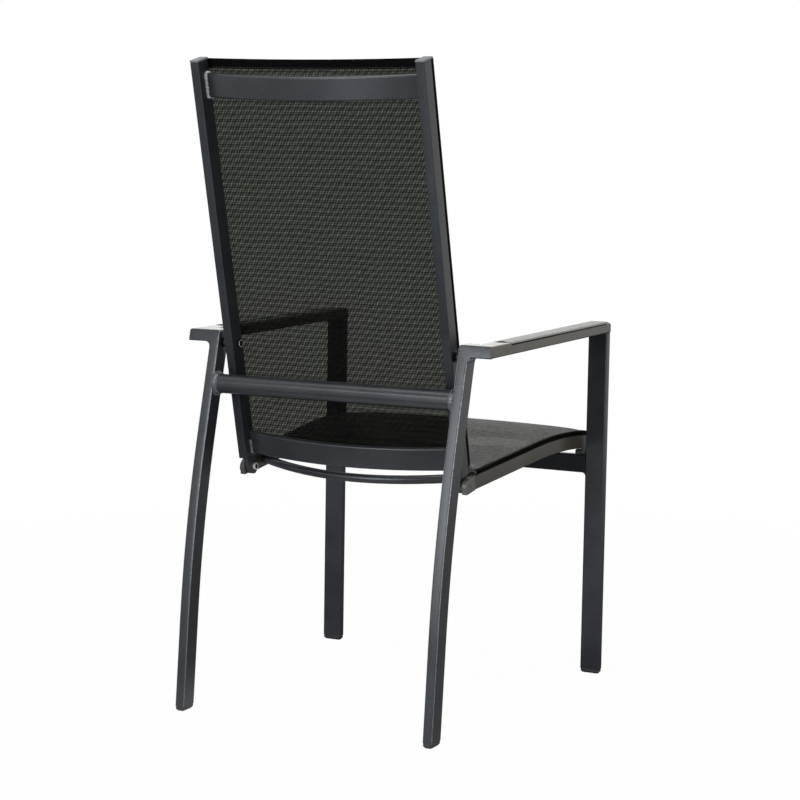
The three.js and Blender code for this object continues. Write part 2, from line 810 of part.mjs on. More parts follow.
// Course of the seat rail's middle line seen from the side, from the rear end to the front end, for
// a rise of its straight part
function seatCourse(rakeAngle) {
  const stations = [];
  let heading = rad(rakeAngle);
  let y = -seat_rail_rear;
  let z = seat_rail_above_pivot;
  const put = () => stations.push({
    y, z, along: new THREE.Vector2(-Math.cos(heading), Math.sin(heading)),
  });
  const go = (length) => {
    y -= Math.cos(heading) * length;
    z += Math.sin(heading) * length;
  };
  const turn = (radius, degrees, steps) => {
    const step = rad(degrees) / steps;
    for (let i = 0; i < steps; i += 1) {
      heading -= step / 2;
      go(2 * radius * Math.sin(step / 2));
      heading -= step / 2;
      put();
    }
  };
  const crestFall = rad(seat_crest_angle) - heading;
  const frontFall = crestFall + rad(seat_front_angle);
  const crest = seat_crest_radius * (Math.sin(heading) + Math.sin(crestFall));
  const front = seat_front_radius * (Math.sin(frontFall) - Math.sin(crestFall));
  const depth = glideForward + seat_front_overhang - seat_rail_rear;
  const straight = (depth - crest - front) / Math.cos(heading);
  put();
  go(straight / 2);
  put();
  go(straight / 2);
  put();
  turn(seat_crest_radius, seat_crest_angle, seat_rail_steps);
  turn(seat_front_radius, seat_front_angle, seat_rail_steps);
  return stations;
}

// Height of a course of points at a distance forward of the seat pivot
function heightAt(course, forward) {
  const index = course.findIndex((point) => point.y < -forward);
  const after = course[index];
  const before = course[index - 1];
  return THREE.MathUtils.lerp(before.z, after.z, (-forward - before.y) / (after.y - before.y));
}

// Lowest height of a seat rail's underside over the glide
function railOverGlide(stations) {
  const underside = stations.map((station) => ({
    y: station.y - (station.along.y * rail_depth) / 2,
    z: station.z + (station.along.x * rail_depth) / 2,
  }));
  const half = glide_length / 2;
  return Math.min(heightAt(underside, glideForward - half), heightAt(underside, glideForward + half));
}

// The seat's rake is the one at which its rails just clear the glides on the cross rail
function seatRake() {
  const wanted = crossRailTop + glide_height + glide_clearance - seat.position.z;
  let least = rake_least_angle;
  let most = rake_most_angle;
  for (let i = 0; i < rake_steps; i += 1) {
    const middle = (least + most) / 2;
    if (railOverGlide(seatCourse(middle)) < wanted) {
      least = middle;
    } else {
      most = middle;
    }
  }
  return (least + most) / 2;
}

const seatStations = seatCourse(seatRake());
const seatRearMiddle = seatLugOuter - rail_width / 2;
const seatFrontMiddle = armInner - seat_side_gap - rail_width / 2;
const seatTaperLength = glideForward - seat_rail_rear;
const seatSplay = (seatFrontMiddle - seatRearMiddle) / seatTaperLength;
const seatRailMiddle = (y) => seatRearMiddle - (y + seat_rail_rear) * seatSplay;

// Ring of a section at a station: v runs along the normal, away from the ground
function seatRing(outline, side, station, shift = 0) {
  const y0 = station.y + station.along.x * shift;
  const z0 = station.z + station.along.y * shift;
  return outline.map((p) => {
    const y = y0 + station.along.y * p.y;
    const z = z0 - station.along.x * p.y;
    return new THREE.Vector3(side * (seatRailMiddle(y) + p.x), y, z);
  });
}

function alongSeat(outline, side, stations, before = 0, after = 0) {
  const last = stations.length - 1;
  return loft(stations.map((station, i) => {
    const shift = (i === 0 ? -before : 0) + (i === last ? after : 0);
    return seatRing(outline, side, station, shift);
  }), outline);
}

function seatRail(side) {
  const rail = alongSeat(railOutline(), side, seatStations);
  const bore = alongSeat(chamberOutline(0), side, seatStations, overrun, overrun);
  return cut(rail, bore);
}

function seatRailCap(side) {
  const last = seatStations[seatStations.length - 1];
  const half = rail_width / 2 + cap_overhang;
  const face = rail_depth / 2 + cap_overhang;
  const plate = roundedBox(-half, half, -face, face, rail_edge_radius);
  const cap = loft([
    seatRing(plate, side, last, fit_gap),
    seatRing(plate, side, last, fit_gap + cap_thickness),
  ], plate);
  const stem = chamberOutline(fit_gap);
  const plug = alongSeat(stem, side, seatStations.slice(-3), 0, fit_gap + cap_thickness / 2);
  return join(cap, plug);
}

// Seat lug: half-lapped end that carries the seat pivot, with a stem inside the rail
function seatLug(side) {
  const start = seatStations[0];
  const up = new THREE.Vector2(start.along.y, -start.along.x);
  const face = rail_depth / 2;
  const end = new THREE.Vector2(start.y, start.z).addScaledVector(start.along, -fit_gap);
  const top = end.clone().addScaledVector(up, face - groove_from_face);
  const bottom = end.clone().addScaledVector(up, -face);
  const shape = new THREE.Shape();
  shape.moveTo(bottom.x, bottom.y);
  shape.lineTo(seat_lug_radius - rail_edge_radius, -seat_lug_radius);
  shape.lineTo(seat_lug_radius, rail_edge_radius - seat_lug_radius);
  shape.lineTo(seat_lug_radius, 0);
  shape.absarc(0, 0, seat_lug_radius, 0, Math.PI / 2, false);
  shape.lineTo(top.x, top.y);
  const lug = plateAcross(side, shape, seatLugInner, seatLugOuter);
  const stem = chamberOutline(fit_gap);
  const plug = loft([
    seatRing(stem, side, start, seat_lug_stem),
    seatRing(stem, side, start, -fit_gap * 2),
  ], stem);
  const hole = cylinderAlongX(
    bolt_radius + fit_gap, side * (seatLugInner - overrun), side * (seatLugOuter + overrun), 0, 0,
  );
  return cut(join(lug, plug), hole);
}

// Round bar between the seat rails, its curve run past the ends and trimmed square
function seatBar(curve, end) {
  const section = new THREE.Shape(rodOutline(new THREE.Vector2(0, 0), seat_bar_radius, bar_sides));
  const bar = new THREE.ExtrudeGeometry(
    section, { steps: seat_bar_steps, extrudePath: curve, bevelEnabled: false },
  );
  const reach = seat_rear_bar_bow * 2 + seat_bar_radius * 2;
  const middle = curve.getPoint(0);
  const trim = (from, to) => boxBetween(
    from, to, middle.y - reach, middle.y + reach, middle.z - reach, middle.z + reach,
  );
  return cut(bar, trim(end, end + reach), trim(-end - reach, -end));
}

// Middle of a seat rail at a distance forward of the seat pivot
function seatPlace(forward) {
  return new THREE.Vector3(seatRailMiddle(-forward), -forward, heightAt(seatStations, forward));
}

// Inner face of a seat rail at a place on its course, less the gap that the taper needs
function seatBarEnd(place) {
  return place.x - rail_width / 2 - fit_gap - seat_bar_radius * seatSplay;
}

function seatRearBar() {
  const place = seatPlace(seat_rear_bar_from_pivot);
  const end = seatBarEnd(place);
  const low = place.z - rail_depth / 2 + seat_bar_above_edge;
  const past = (end + overrun) / end;
  const bow = seat_rear_bar_bow;
  const dip = seat_rear_bar_dip;
  const edge = place.y - bow * (past * past - 1);
  const edgeUp = low + dip * (past * past - 1);
  const curve = new THREE.QuadraticBezierCurve3(
    new THREE.Vector3(-end * past, edge, edgeUp),
    new THREE.Vector3(0, place.y + bow + bow * past * past, low - dip - dip * past * past),
    new THREE.Vector3(end * past, edge, edgeUp),
  );
  return seatBar(curve, end);
}

function seatFrontBar() {
  const last = seatStations[seatStations.length - 1];
  const y = last.y - last.along.x * seat_front_bar_back;
  const place = seatPlace(-y);
  const end = seatBarEnd(place);
  const low = place.z - rail_depth / 2 + seat_bar_above_edge;
  const past = end + overrun;
  const line = new THREE.LineCurve3(new THREE.Vector3(-past, y, low), new THREE.Vector3(past, y, low));
  return seatBar(line, end);
}

function seatSling() {
  const outline = slingOutline(0);
  const rings = seatStations.map((station, i) => {
    const shift = i === 0 ? seat_sling_rear_inset : 0;
    const y0 = station.y + station.along.x * shift;
    const z0 = station.z + station.along.y * shift;
    return outline.map((p) => {
      const y = y0 + station.along.y * p.y;
      const z = z0 - station.along.x * p.y;
      const away = p.x > 0 ? seatRailMiddle(y) : -seatRailMiddle(y);
      return new THREE.Vector3(p.x + away, y, z);
    });
  });
  return loft(rings, slingOutline(seatRearMiddle));
}

function seatSpline(side) {
  const outline = rodOutline(splinePlace, spline_radius, groove_steps);
  return alongSeat(outline, side, seatStations);
}

// Assembly
const boltHeadFace = backRailInner - bolt_head_height - fit_gap;
sides.forEach(([name, side]) => {
  addPiece(chair, `front_leg_${name}`, frontLeg(side), paint());
  addPiece(chair, `rear_leg_${name}`, rearLeg(side), paint());
  addPiece(chair, `arm_rail_${name}`, armRail(side), paint());
  addPiece(chair, `arm_slat_${name}`, armSlat(side), slatPaint());
  const frontEdges = (z) => [armInner, arm_half_width, frontLegFront(z), frontLegFront(z) + leg_depth];
  const rearEdges = (z) => [rearLegInner, rearLegOuter, rearLegFront(z), rearLegBack(z)];
  addPiece(chair, `front_foot_${name}`, footPlug(side, frontEdges, leg_edge_radius), plastic());
  addPiece(chair, `rear_foot_${name}`, footPlug(side, rearEdges, rear_leg_edge_radius), plastic());
});
addPiece(chair, 'rear_cross_tube', rearCrossTube(), paint());
addPiece(chair, 'front_cross_rail', frontCrossRail(), paint());

chair.add(back, seat);

sides.forEach(([name, side]) => {
  addPiece(back, `back_rail_${name}`, backRail(side), paint());
  addPiece(back, `back_rail_cap_${name}`, backRailCap(side), plastic());
  addPiece(back, `back_lug_${name}`, backLug(side), paint());
  addPiece(back, `back_spline_${name}`, backSpline(side), plastic());
});
addPiece(back, 'back_top_bar', backBar(back_rail_above_pivot - top_bar_from_end), paint());
addPiece(back, 'back_bottom_bar', backBar(bottom_bar_from_end - back_rail_below_pivot), paint());
addPiece(back, 'back_sling', backSling(), mesh());

sides.forEach(([name, side]) => {
  addPiece(seat, `seat_rail_${name}`, seatRail(side), paint());
  addPiece(seat, `seat_rail_cap_${name}`, seatRailCap(side), plastic());
  addPiece(seat, `seat_lug_${name}`, seatLug(side), paint());
  addPiece(seat, `seat_spline_${name}`, seatSpline(side), plastic());
  const bolt = pivotBolt(side, boltHeadFace, seatLugOuter, 0, 0);
  addPiece(seat, `seat_pivot_bolt_${name}`, bolt, steel());
  const washerInner = backLugOuter + fit_gap;
  const washerOuter = washerInner + washer_thickness;
  const washer = ringAlongX(side, washerInner, washerOuter, washer_radius, bolt_radius + fit_gap, 0, 0);
  addPiece(seat, `seat_pivot_washer_${name}`, washer, steel());
});
addPiece(seat, 'seat_rear_bar', seatRearBar(), paint());
addPiece(seat, 'seat_front_bar', seatFrontBar(), paint());
addPiece(seat, 'seat_sling', seatSling(), mesh());

// Bolt, spacer bush and threaded insert of one back pivot, and the glide on the cross rail
sides.forEach(([name, side]) => {
  const hole = bolt_radius + fit_gap;
  const ring = (from, to, radius) => ringAlongX(side, from, to, radius, hole, backPivotY, backPivotZ);
  const insertEnd = rearLegInner + insert_length;
  const bushInner = backRailOuter + fit_gap * 2 + sling_thickness;
  const flangeInner = rearLegInner - insert_flange;
  const bolt = pivotBolt(side, boltHeadFace, insertEnd, backPivotY, backPivotZ);
  addPiece(chair, `back_pivot_bolt_${name}`, bolt, steel());
  const bush = ring(bushInner, flangeInner - fit_gap, bush_radius);
  addPiece(chair, `back_pivot_bush_${name}`, bush, plastic());
  const flange = ring(flangeInner, rearLegInner, insert_flange_radius);
  const barrel = ring(rearLegInner - insert_flange / 2, insertEnd, insert_radius);
  addPiece(chair, `back_pivot_insert_${name}`, join(flange, barrel), steel());
  addPiece(chair, `seat_glide_${name}`, glideBlock(side), plastic());
});

// Glide: block on the cross rail with a rounded top that lies just under the seat rail
function glideBlock(side) {
  const half = glide_length / 2;
  const top = crossRailTop + glide_height;
  const outline = [
    new THREE.Vector2(-half, crossRailTop),
    new THREE.Vector2(half, crossRailTop),
    new THREE.Vector2(half, top - glide_edge_radius),
    new THREE.Vector2(half - glide_edge_radius, top),
    new THREE.Vector2(glide_edge_radius - half, top),
    new THREE.Vector2(-half, top - glide_edge_radius),
  ];
  const middle = seatRailMiddle(-glideForward);
  const ringAt = (x) => outline.map((p) => new THREE.Vector3(side * x, crossRailMiddle + p.x, p.y));
  return loft([ringAt(middle - glide_width / 2), ringAt(middle + glide_width / 2)], outline);
}

// The origin is the middle of the chair's box, on the ground
chair.updateMatrixWorld(true);
const box = new THREE.Box3().setFromObject(chair, true);
chair.position.set(-(box.min.x + box.max.x) / 2, -(box.min.y + box.max.y) / 2, -box.min.z);
chair.updateMatrixWorld(true);

export default chair;
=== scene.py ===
"""Dresses the reclining sling patio chair: powder-coated frame, woven slings, welds, caps and feet."""

from __future__ import annotations

import logging
import math
from dataclasses import dataclass, field
from enum import Enum
from typing import Callable

import bmesh
import bpy
from mathutils import Matrix, Vector


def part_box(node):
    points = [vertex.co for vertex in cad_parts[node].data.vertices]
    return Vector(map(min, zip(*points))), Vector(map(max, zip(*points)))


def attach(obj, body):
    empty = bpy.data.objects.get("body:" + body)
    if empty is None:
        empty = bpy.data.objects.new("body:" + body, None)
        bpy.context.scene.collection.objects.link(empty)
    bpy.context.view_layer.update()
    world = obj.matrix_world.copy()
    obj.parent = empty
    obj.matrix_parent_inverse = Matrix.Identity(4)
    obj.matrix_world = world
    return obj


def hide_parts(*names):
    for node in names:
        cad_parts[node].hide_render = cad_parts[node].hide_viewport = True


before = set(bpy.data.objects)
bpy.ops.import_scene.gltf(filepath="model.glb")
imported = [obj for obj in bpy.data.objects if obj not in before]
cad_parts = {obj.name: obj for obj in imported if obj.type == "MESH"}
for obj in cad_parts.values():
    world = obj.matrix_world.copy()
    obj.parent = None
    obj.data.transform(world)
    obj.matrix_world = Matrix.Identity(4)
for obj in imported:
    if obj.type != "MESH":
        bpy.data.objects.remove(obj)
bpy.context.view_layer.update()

LOG = logging.getLogger("patio_chair")
MM = 0.001
BEAD_STEP = 0.75 * MM
BEAD_LEAST_STEPS = 24

Colour = tuple[float, float, float, float]
Triple = tuple[float, float, float]
Band = tuple[float, float]


class Side(Enum):
    """The chair's two sides, each with the sign of its X."""

    LEFT = 1.0
    RIGHT = -1.0

    @property
    def label(self) -> str:
        """The word that the names of this side's pieces end in."""
        return self.name.lower()


# Shader expressions


class Sock:
    """A node's output that can be used in a Python expression; each operator adds one Math node."""

    def __init__(self, graph: "Graph", link: bpy.types.NodeSocket) -> None:
        """Wraps one output socket.

        Args:
            graph: The material graph that the socket belongs to.
            link: The output socket.
        """
        self.graph = graph
        self.link = link

    def maths(self, operation: str, *others: "Sock | float", flip: bool = False) -> "Sock":
        """Adds a Math node on this value.

        Args:
            operation: The Math node's operation.
            others: The other operands.
            flip: Whether this value is the second operand.

        Returns:
            The new value.
        """
        values = [self, *others]
        if flip:
            values.reverse()
        node = self.graph.add("ShaderNodeMath", {"operation": operation}, dict(enumerate(values)))
        return node.out()

    def __add__(self, other: "Sock | float") -> "Sock":
        """Sum."""
        return self.maths("ADD", other)

    def __radd__(self, other: float) -> "Sock":
        """Sum with a number in front."""
        return self.maths("ADD", other, flip=True)

    def __sub__(self, other: "Sock | float") -> "Sock":
        """Difference."""
        return self.maths("SUBTRACT", other)

    def __rsub__(self, other: float) -> "Sock":
        """Difference from a number."""
        return self.maths("SUBTRACT", other, flip=True)

    def __mul__(self, other: "Sock | float") -> "Sock":
        """Product."""
        return self.maths("MULTIPLY", other)

    def __rmul__(self, other: float) -> "Sock":
        """Product with a number in front."""
        return self.maths("MULTIPLY", other, flip=True)

    def __truediv__(self, other: "Sock | float") -> "Sock":
        """Quotient."""
        return self.maths("DIVIDE", other)

    def __pow__(self, other: float) -> "Sock":
        """Power."""
        return self.maths("POWER", other)

    def floor(self) -> "Sock":
        """Whole part."""
        return self.maths("FLOOR")

    def frac(self) -> "Sock":
        """Fraction."""
        return self.maths("FRACT")

    def abs(self) -> "Sock":
        """Size without sign."""
        return self.maths("ABSOLUTE")

    def mod(self, other: float) -> "Sock":
        """Remainder that is never negative."""
        return self.maths("FLOORED_MODULO", other)

    def most(self, other: "Sock | float") -> "Sock":
        """The larger of two values."""
        return self.maths("MAXIMUM", other)

    def below(self, other: "Sock | float") -> "Sock":
        """One where this value is the smaller, else nought."""
        return self.maths("LESS_THAN", other)

    def sine(self) -> "Sock":
        """Sine of this value, in radians."""
        return self.maths("SINE")

    def root(self) -> "Sock":
        """Square root of the part above nought."""
        return self.most(0.0).maths("SQRT")

    def ramp(self, low: float, high: float, start: float = 0.0, end: float = 1.0) -> "Sock":
        """Clamped straight change between two values.

        Args:
            low: Input at which the change starts.
            high: Input at which it ends.
            start: Output up to low.
            end: Output from high on.

        Returns:
            The mapped value.
        """
        node = self.graph.add(
            "ShaderNodeMapRange",
            {"clamp": True, "interpolation_type": "SMOOTHSTEP"},
            {0: self, 1: low, 2: high, 3: start, 4: end},
        )
        return node.out()


class Placed:
    """A node that has been added to a graph."""

    def __init__(self, graph: "Graph", node: bpy.types.Node) -> None:
        """Keeps the node with its graph.

        Args:
            graph: The graph.
            node: The node.
        """
        self.graph = graph
        self.node = node

    def out(self, name: str | int = 0) -> Sock:
        """One of the node's outputs, by name or place."""
        return Sock(self.graph, self.node.outputs[name])


class Graph:
    """A node tree with one method that adds any node."""

    def __init__(self, tree: bpy.types.NodeTree) -> None:
        """Empties the tree.

        Args:
            tree: The node tree to fill.
        """
        self.tree = tree
        tree.nodes.clear()

    def add(self, kind: str, settings: dict | None = None, inputs: dict | None = None) -> Placed:
        """Adds a node, sets its options first, then fills its sockets.

        Args:
            kind: The node's type.
            settings: Options by attribute name.
            inputs: Values or links by socket name or place.

        Returns:
            The node, ready for its outputs to be read.
        """
        node = self.tree.nodes.new(kind)
        for name, value in (settings or {}).items():
            setattr(node, name, value)
        for name, value in (inputs or {}).items():
            if isinstance(value, Sock):
                self.tree.links.new(value.link, node.inputs[name])
            else:
                node.inputs[name].default_value = value
        return Placed(self, node)

    def mix(self, share: Sock | float, first: Sock | Colour, second: Sock | Colour) -> Sock:
        """Mixes two colours.

        Args:
            share: How much of the second colour shows.
            first: First colour.
            second: Second colour.

        Returns:
            The mixed colour.
        """
        # The node's sockets 6 and 7 are its two colours, and its output 2 is the mixed one.
        return self.add("ShaderNodeMix", {"data_type": "RGBA"}, {0: share, 6: first, 7: second}).out(2)

    def noise(self, where: Sock, scale: float, detail: float = 2.0, rough: float = 0.5) -> Sock:
        """Noise value at a place.

        Args:
            where: Coordinates.
            scale: Features per metre.
            detail: Octaves.
            rough: Strength of the finer octaves.

        Returns:
            The noise, about 0.5 in the middle.
        """
        node = self.add(
            "ShaderNodeTexNoise",
            {"noise_dimensions": "3D"},
            {"Vector": where, "Scale": scale, "Detail": detail, "Roughness": rough},
        )
        return node.out(0)

    def object_place(self) -> Sock:
        """Object coordinates, in metres."""
        return self.add("ShaderNodeTexCoord").out("Object")

    def stretched(self, where: Sock, scale: Triple) -> Sock:
        """Coordinates stretched along the axes.

        Args:
            where: Coordinates.
            scale: Factor along each axis.

        Returns:
            The stretched coordinates.
        """
        return self.add("ShaderNodeMapping", {}, {"Vector": where, "Scale": scale}).out()

    def parts(self, where: Sock) -> tuple[Sock, Sock, Sock]:
        """Takes a vector apart.

        Args:
            where: The vector.

        Returns:
            Its X, Y and Z.
        """
        node = self.add("ShaderNodeSeparateXYZ", {}, {0: where})
        return node.out(0), node.out(1), node.out(2)

    def bump(self, height: Sock, strength: float, distance: float, normal: Sock | None = None) -> Sock:
        """Bump from a height.

        Args:
            height: Height, 0 to 1.
            strength: Strength of the effect.
            distance: Real height of 1, in metres.
            normal: Normal of a coarser bump under this one.

        Returns:
            The normal.
        """
        inputs: dict = {"Height": height, "Strength": strength, "Distance": distance}
        if normal is not None:
            inputs["Normal"] = normal
        return self.add("ShaderNodeBump", {}, inputs).out()

    def surface(self, inputs: dict) -> Placed:
        """Adds the main shader and the output, and joins them.

        Args:
            inputs: Values or links of the shader's sockets.

        Returns:
            The shader node.
        """
        shader = self.add("ShaderNodeBsdfPrincipled", {}, inputs)
        self.add("ShaderNodeOutputMaterial", {}, {"Surface": shader.out()})
        return shader


def grey(value: float) -> Colour:
    """A neutral colour."""
    return (value, value, value, 1.0)


def rgb(red: float, green: float, blue: float) -> Colour:
    """A colour with full cover."""
    return (red, green, blue, 1.0)


# Finishes


@dataclass(frozen=True)
class Finish:
    """Base of every finish: makes its material once and hands it out."""

    name: str

    def material(self) -> bpy.types.Material:
        """Makes the finish's material on first use.

        Returns:
            The material.
        """
        found = bpy.data.materials.get(self.name)
        if found is None:
            found = bpy.data.materials.new(self.name)
            found.use_nodes = True
            self.shade(Graph(found.node_tree))
        return found

    def shade(self, graph: Graph) -> None:
        """Fills the material's graph.

        Args:
            graph: The graph to fill.
        """
        raise NotImplementedError


@dataclass(frozen=True)
class PowderCoat(Finish):
    """Fine-textured powder coat on aluminium, with an orange-peel ripple and small tonal changes.

    Round corners carry a painted highlight, the more so the higher they are, and level faces can carry a
    painted highlight too.
    Scales are in features per metre, and a band is the pair of values between which a tone comes in.
    """

    dark: Colour = rgb(0.0140, 0.0155, 0.0180)
    light: Colour = rgb(0.0205, 0.0225, 0.0255)
    fleck: Colour = rgb(0.10, 0.105, 0.115)
    # The next four settings paint highlights: the paler colours of round corners and of level tops, then how
    # strongly each shows.
    pale_tone: Colour = rgb(0.26, 0.27, 0.285)
    top_highlight_colour: Colour = rgb(0.085, 0.092, 0.098)
    corner_highlight: float = 0.8
    top_highlight: float = 0.0
    roughness: float = 0.31
    gloss: float = 0.35
    grain_scale: float = 1500.0
    fleck_scale_share: float = 1.7
    speckle_scale_share: float = 0.36
    ripple_scale: float = 170.0
    patch_scale: float = 14.0
    patch_band: Band = (0.35, 0.65)
    fleck_band: Band = (0.66, 0.74)
    fleck_strength: float = 0.5
    speckle_band: Band = (0.40, 0.60)
    speckle_least: float = 0.25
    level_band: Band = (0.90, 0.98)
    corner_band: Band = (0.02, 0.16)
    # Heights over which the painted corner highlight grows, and its share at the lowest.
    highlight_heights: Band = (0.10, 0.50)
    highlight_least: float = 0.35
    patch_rough: float = 0.08
    grain_rough: float = 0.12
    speckle_rough: float = 0.16
    ripple_height: float = 0.0006
    grain_height: float = 0.00022

    def shade(self, graph: Graph) -> None:
        """Grain, ripple, flecks, patches, and painted highlights on round corners and level tops.

        Args:
            graph: The graph to fill.
        """
        place = graph.object_place()
        grain = graph.noise(place, self.grain_scale, 2.0, 0.6)
        ripple = graph.noise(place, self.ripple_scale, 1.0, 0.4)
        patches = graph.noise(place, self.patch_scale, 3.0, 0.55)
        colour = graph.mix(patches.ramp(*self.patch_band), self.dark, self.light)
        fleck = graph.noise(place, self.grain_scale * self.fleck_scale_share, 0.0).ramp(*self.fleck_band)
        colour = graph.mix(fleck * self.fleck_strength, colour, self.fleck)
        speckle = graph.noise(place, self.grain_scale * self.speckle_scale_share, 2.0, 0.6)
        sideways, _, upward = graph.parts(graph.add("ShaderNodeTexCoord").out("Normal"))
        # Painted highlight: faces that look straight up turn paler, standing in for the light that they
        # catch.
        colour = graph.mix(upward.ramp(*self.level_band) * self.top_highlight, colour, self.top_highlight_colour)
        # A face that is turned halfway to the side has a sideways part whose square is a half.
        corner = ((sideways * sideways - 0.5) ** 2.0).ramp(*self.corner_band, 1.0, 0.0)
        _, _, height = graph.parts(place)
        high_up = height.ramp(*self.highlight_heights, self.highlight_least, 1.0)
        # Painted highlight: round corners turn paler in speckles, more so higher up, standing in for the
        # light that they catch.
        highlit = corner * speckle.ramp(*self.speckle_band, self.speckle_least, 1.0) * high_up
        colour = graph.mix(highlit * self.corner_highlight, colour, self.pale_tone)
        rough = (patches - 0.5) * self.patch_rough + (grain - 0.5) * self.grain_rough
        rough = rough + (speckle - 0.5) * self.speckle_rough + self.roughness
        normal = graph.bump(ripple, 0.10, self.ripple_height)
        normal = graph.bump(speckle * 0.6 + grain * 0.4, 0.35, self.grain_height, normal)
        graph.surface({
            "Base Color": colour, "Roughness": rough, "Metallic": 0.0, "Normal": normal,
            "Specular IOR Level": self.gloss,
        })


@dataclass(frozen=True)
class SatinStrip(Finish):
    """Satin strip of the armrests, brushed along its length."""

    # The pale base is partly a painted sheen, standing in for the light that the strip's top catches at a low
    # angle.
    base: Colour = rgb(0.165, 0.165, 0.162)
    pale_tone: Colour = rgb(0.23, 0.23, 0.226)
    streak_stretch: Triple = (900.0, 14.0, 900.0)
    patch_stretch: Triple = (30.0, 9.0, 30.0)
    streak_band: Band = (0.35, 0.7)
    patch_band: Band = (0.3, 0.8)
    roughness: float = 0.48
    metal: float = 0.15
    grain_scale: float = 1300.0
    grain_height: float = 0.00012

    def shade(self, graph: Graph) -> None:
        """Long fine streaks over soft patches.

        Args:
            graph: The graph to fill.
        """
        place = graph.object_place()
        streaks = graph.noise(graph.stretched(place, self.streak_stretch), 1.0, 3.0, 0.6)
        patches = graph.noise(graph.stretched(place, self.patch_stretch), 1.0, 2.0, 0.5)
        share = streaks.ramp(*self.streak_band) * 0.5 + patches.ramp(*self.patch_band) * 0.5
        grain = graph.noise(place, self.grain_scale, 1.0)
        graph.surface({
            "Base Color": graph.mix(share, self.base, self.pale_tone),
            "Roughness": self.roughness + (streaks - 0.5) * 0.18 + (patches - 0.5) * 0.10,
            "Metallic": self.metal,
            "Normal": graph.bump(streaks * 0.7 + grain * 0.3, 0.22, self.grain_height),
        })


@dataclass(frozen=True)
class MouldedPlastic(Finish):
    """Matt moulded plastic with a spark-eroded texture."""

    base: Colour = rgb(0.020, 0.021, 0.022)
    scuffed: Colour = rgb(0.075, 0.077, 0.08)
    roughness: float = 0.5
    gloss: float = 0.35
    pit_scale: float = 1900.0
    pit_height: float = 0.00010
    scuff_stretch: Triple = (180.0, 180.0, 60.0)
    scuff_band: Band = (0.56, 0.74)

    def shade(self, graph: Graph) -> None:
        """Fine pits and pale scuffs.

        Args:
            graph: The graph to fill.
        """
        place = graph.object_place()
        pits = graph.noise(place, self.pit_scale, 2.0, 0.7)
        scuffs = graph.noise(graph.stretched(place, self.scuff_stretch), 1.0, 4.0, 0.7)
        graph.surface({
            "Base Color": graph.mix(scuffs.ramp(*self.scuff_band) * 0.5, self.base, self.scuffed),
            "Roughness": self.roughness + (pits - 0.5) * 0.2,
            "Normal": graph.bump(pits, 0.35, self.pit_height),
            "Specular IOR Level": self.gloss,
        })


@dataclass(frozen=True)
class BrightSteel(Finish):
    """Stainless steel of the bolts and washers, slightly dulled, and painted over past painted_from."""

    base: Colour = rgb(0.80, 0.80, 0.77)
    dull: Colour = rgb(0.52, 0.51, 0.48)
    paint: Colour = rgb(0.026, 0.028, 0.031)
    painted_from: float = 215.6 * MM
    metal: float = 0.45
    roughness: float = 0.26
    patch_scale: float = 260.0
    patch_band: Band = (0.4, 0.75)
    scratch_stretch: Triple = (300.0, 2600.0, 2600.0)
    scratch_height: float = 0.00005

    def shade(self, graph: Graph) -> None:
        """Dull patches and fine scratches.

        Args:
            graph: The graph to fill.
        """
        place = graph.object_place()
        patches = graph.noise(place, self.patch_scale, 3.0, 0.6)
        scratches = graph.noise(graph.stretched(place, self.scratch_stretch), 1.0, 2.0)
        bare = graph.parts(place)[0].abs().below(self.painted_from)
        metal = graph.mix(patches.ramp(*self.patch_band), self.base, self.dull)
        graph.surface({
            "Base Color": graph.mix(bare, self.paint, metal),
            "Roughness": self.roughness + patches * 0.16 + (scratches - 0.5) * 0.2,
            "Metallic": bare * self.metal,
            "Normal": graph.bump(scratches, 0.15, self.scratch_height),
        })


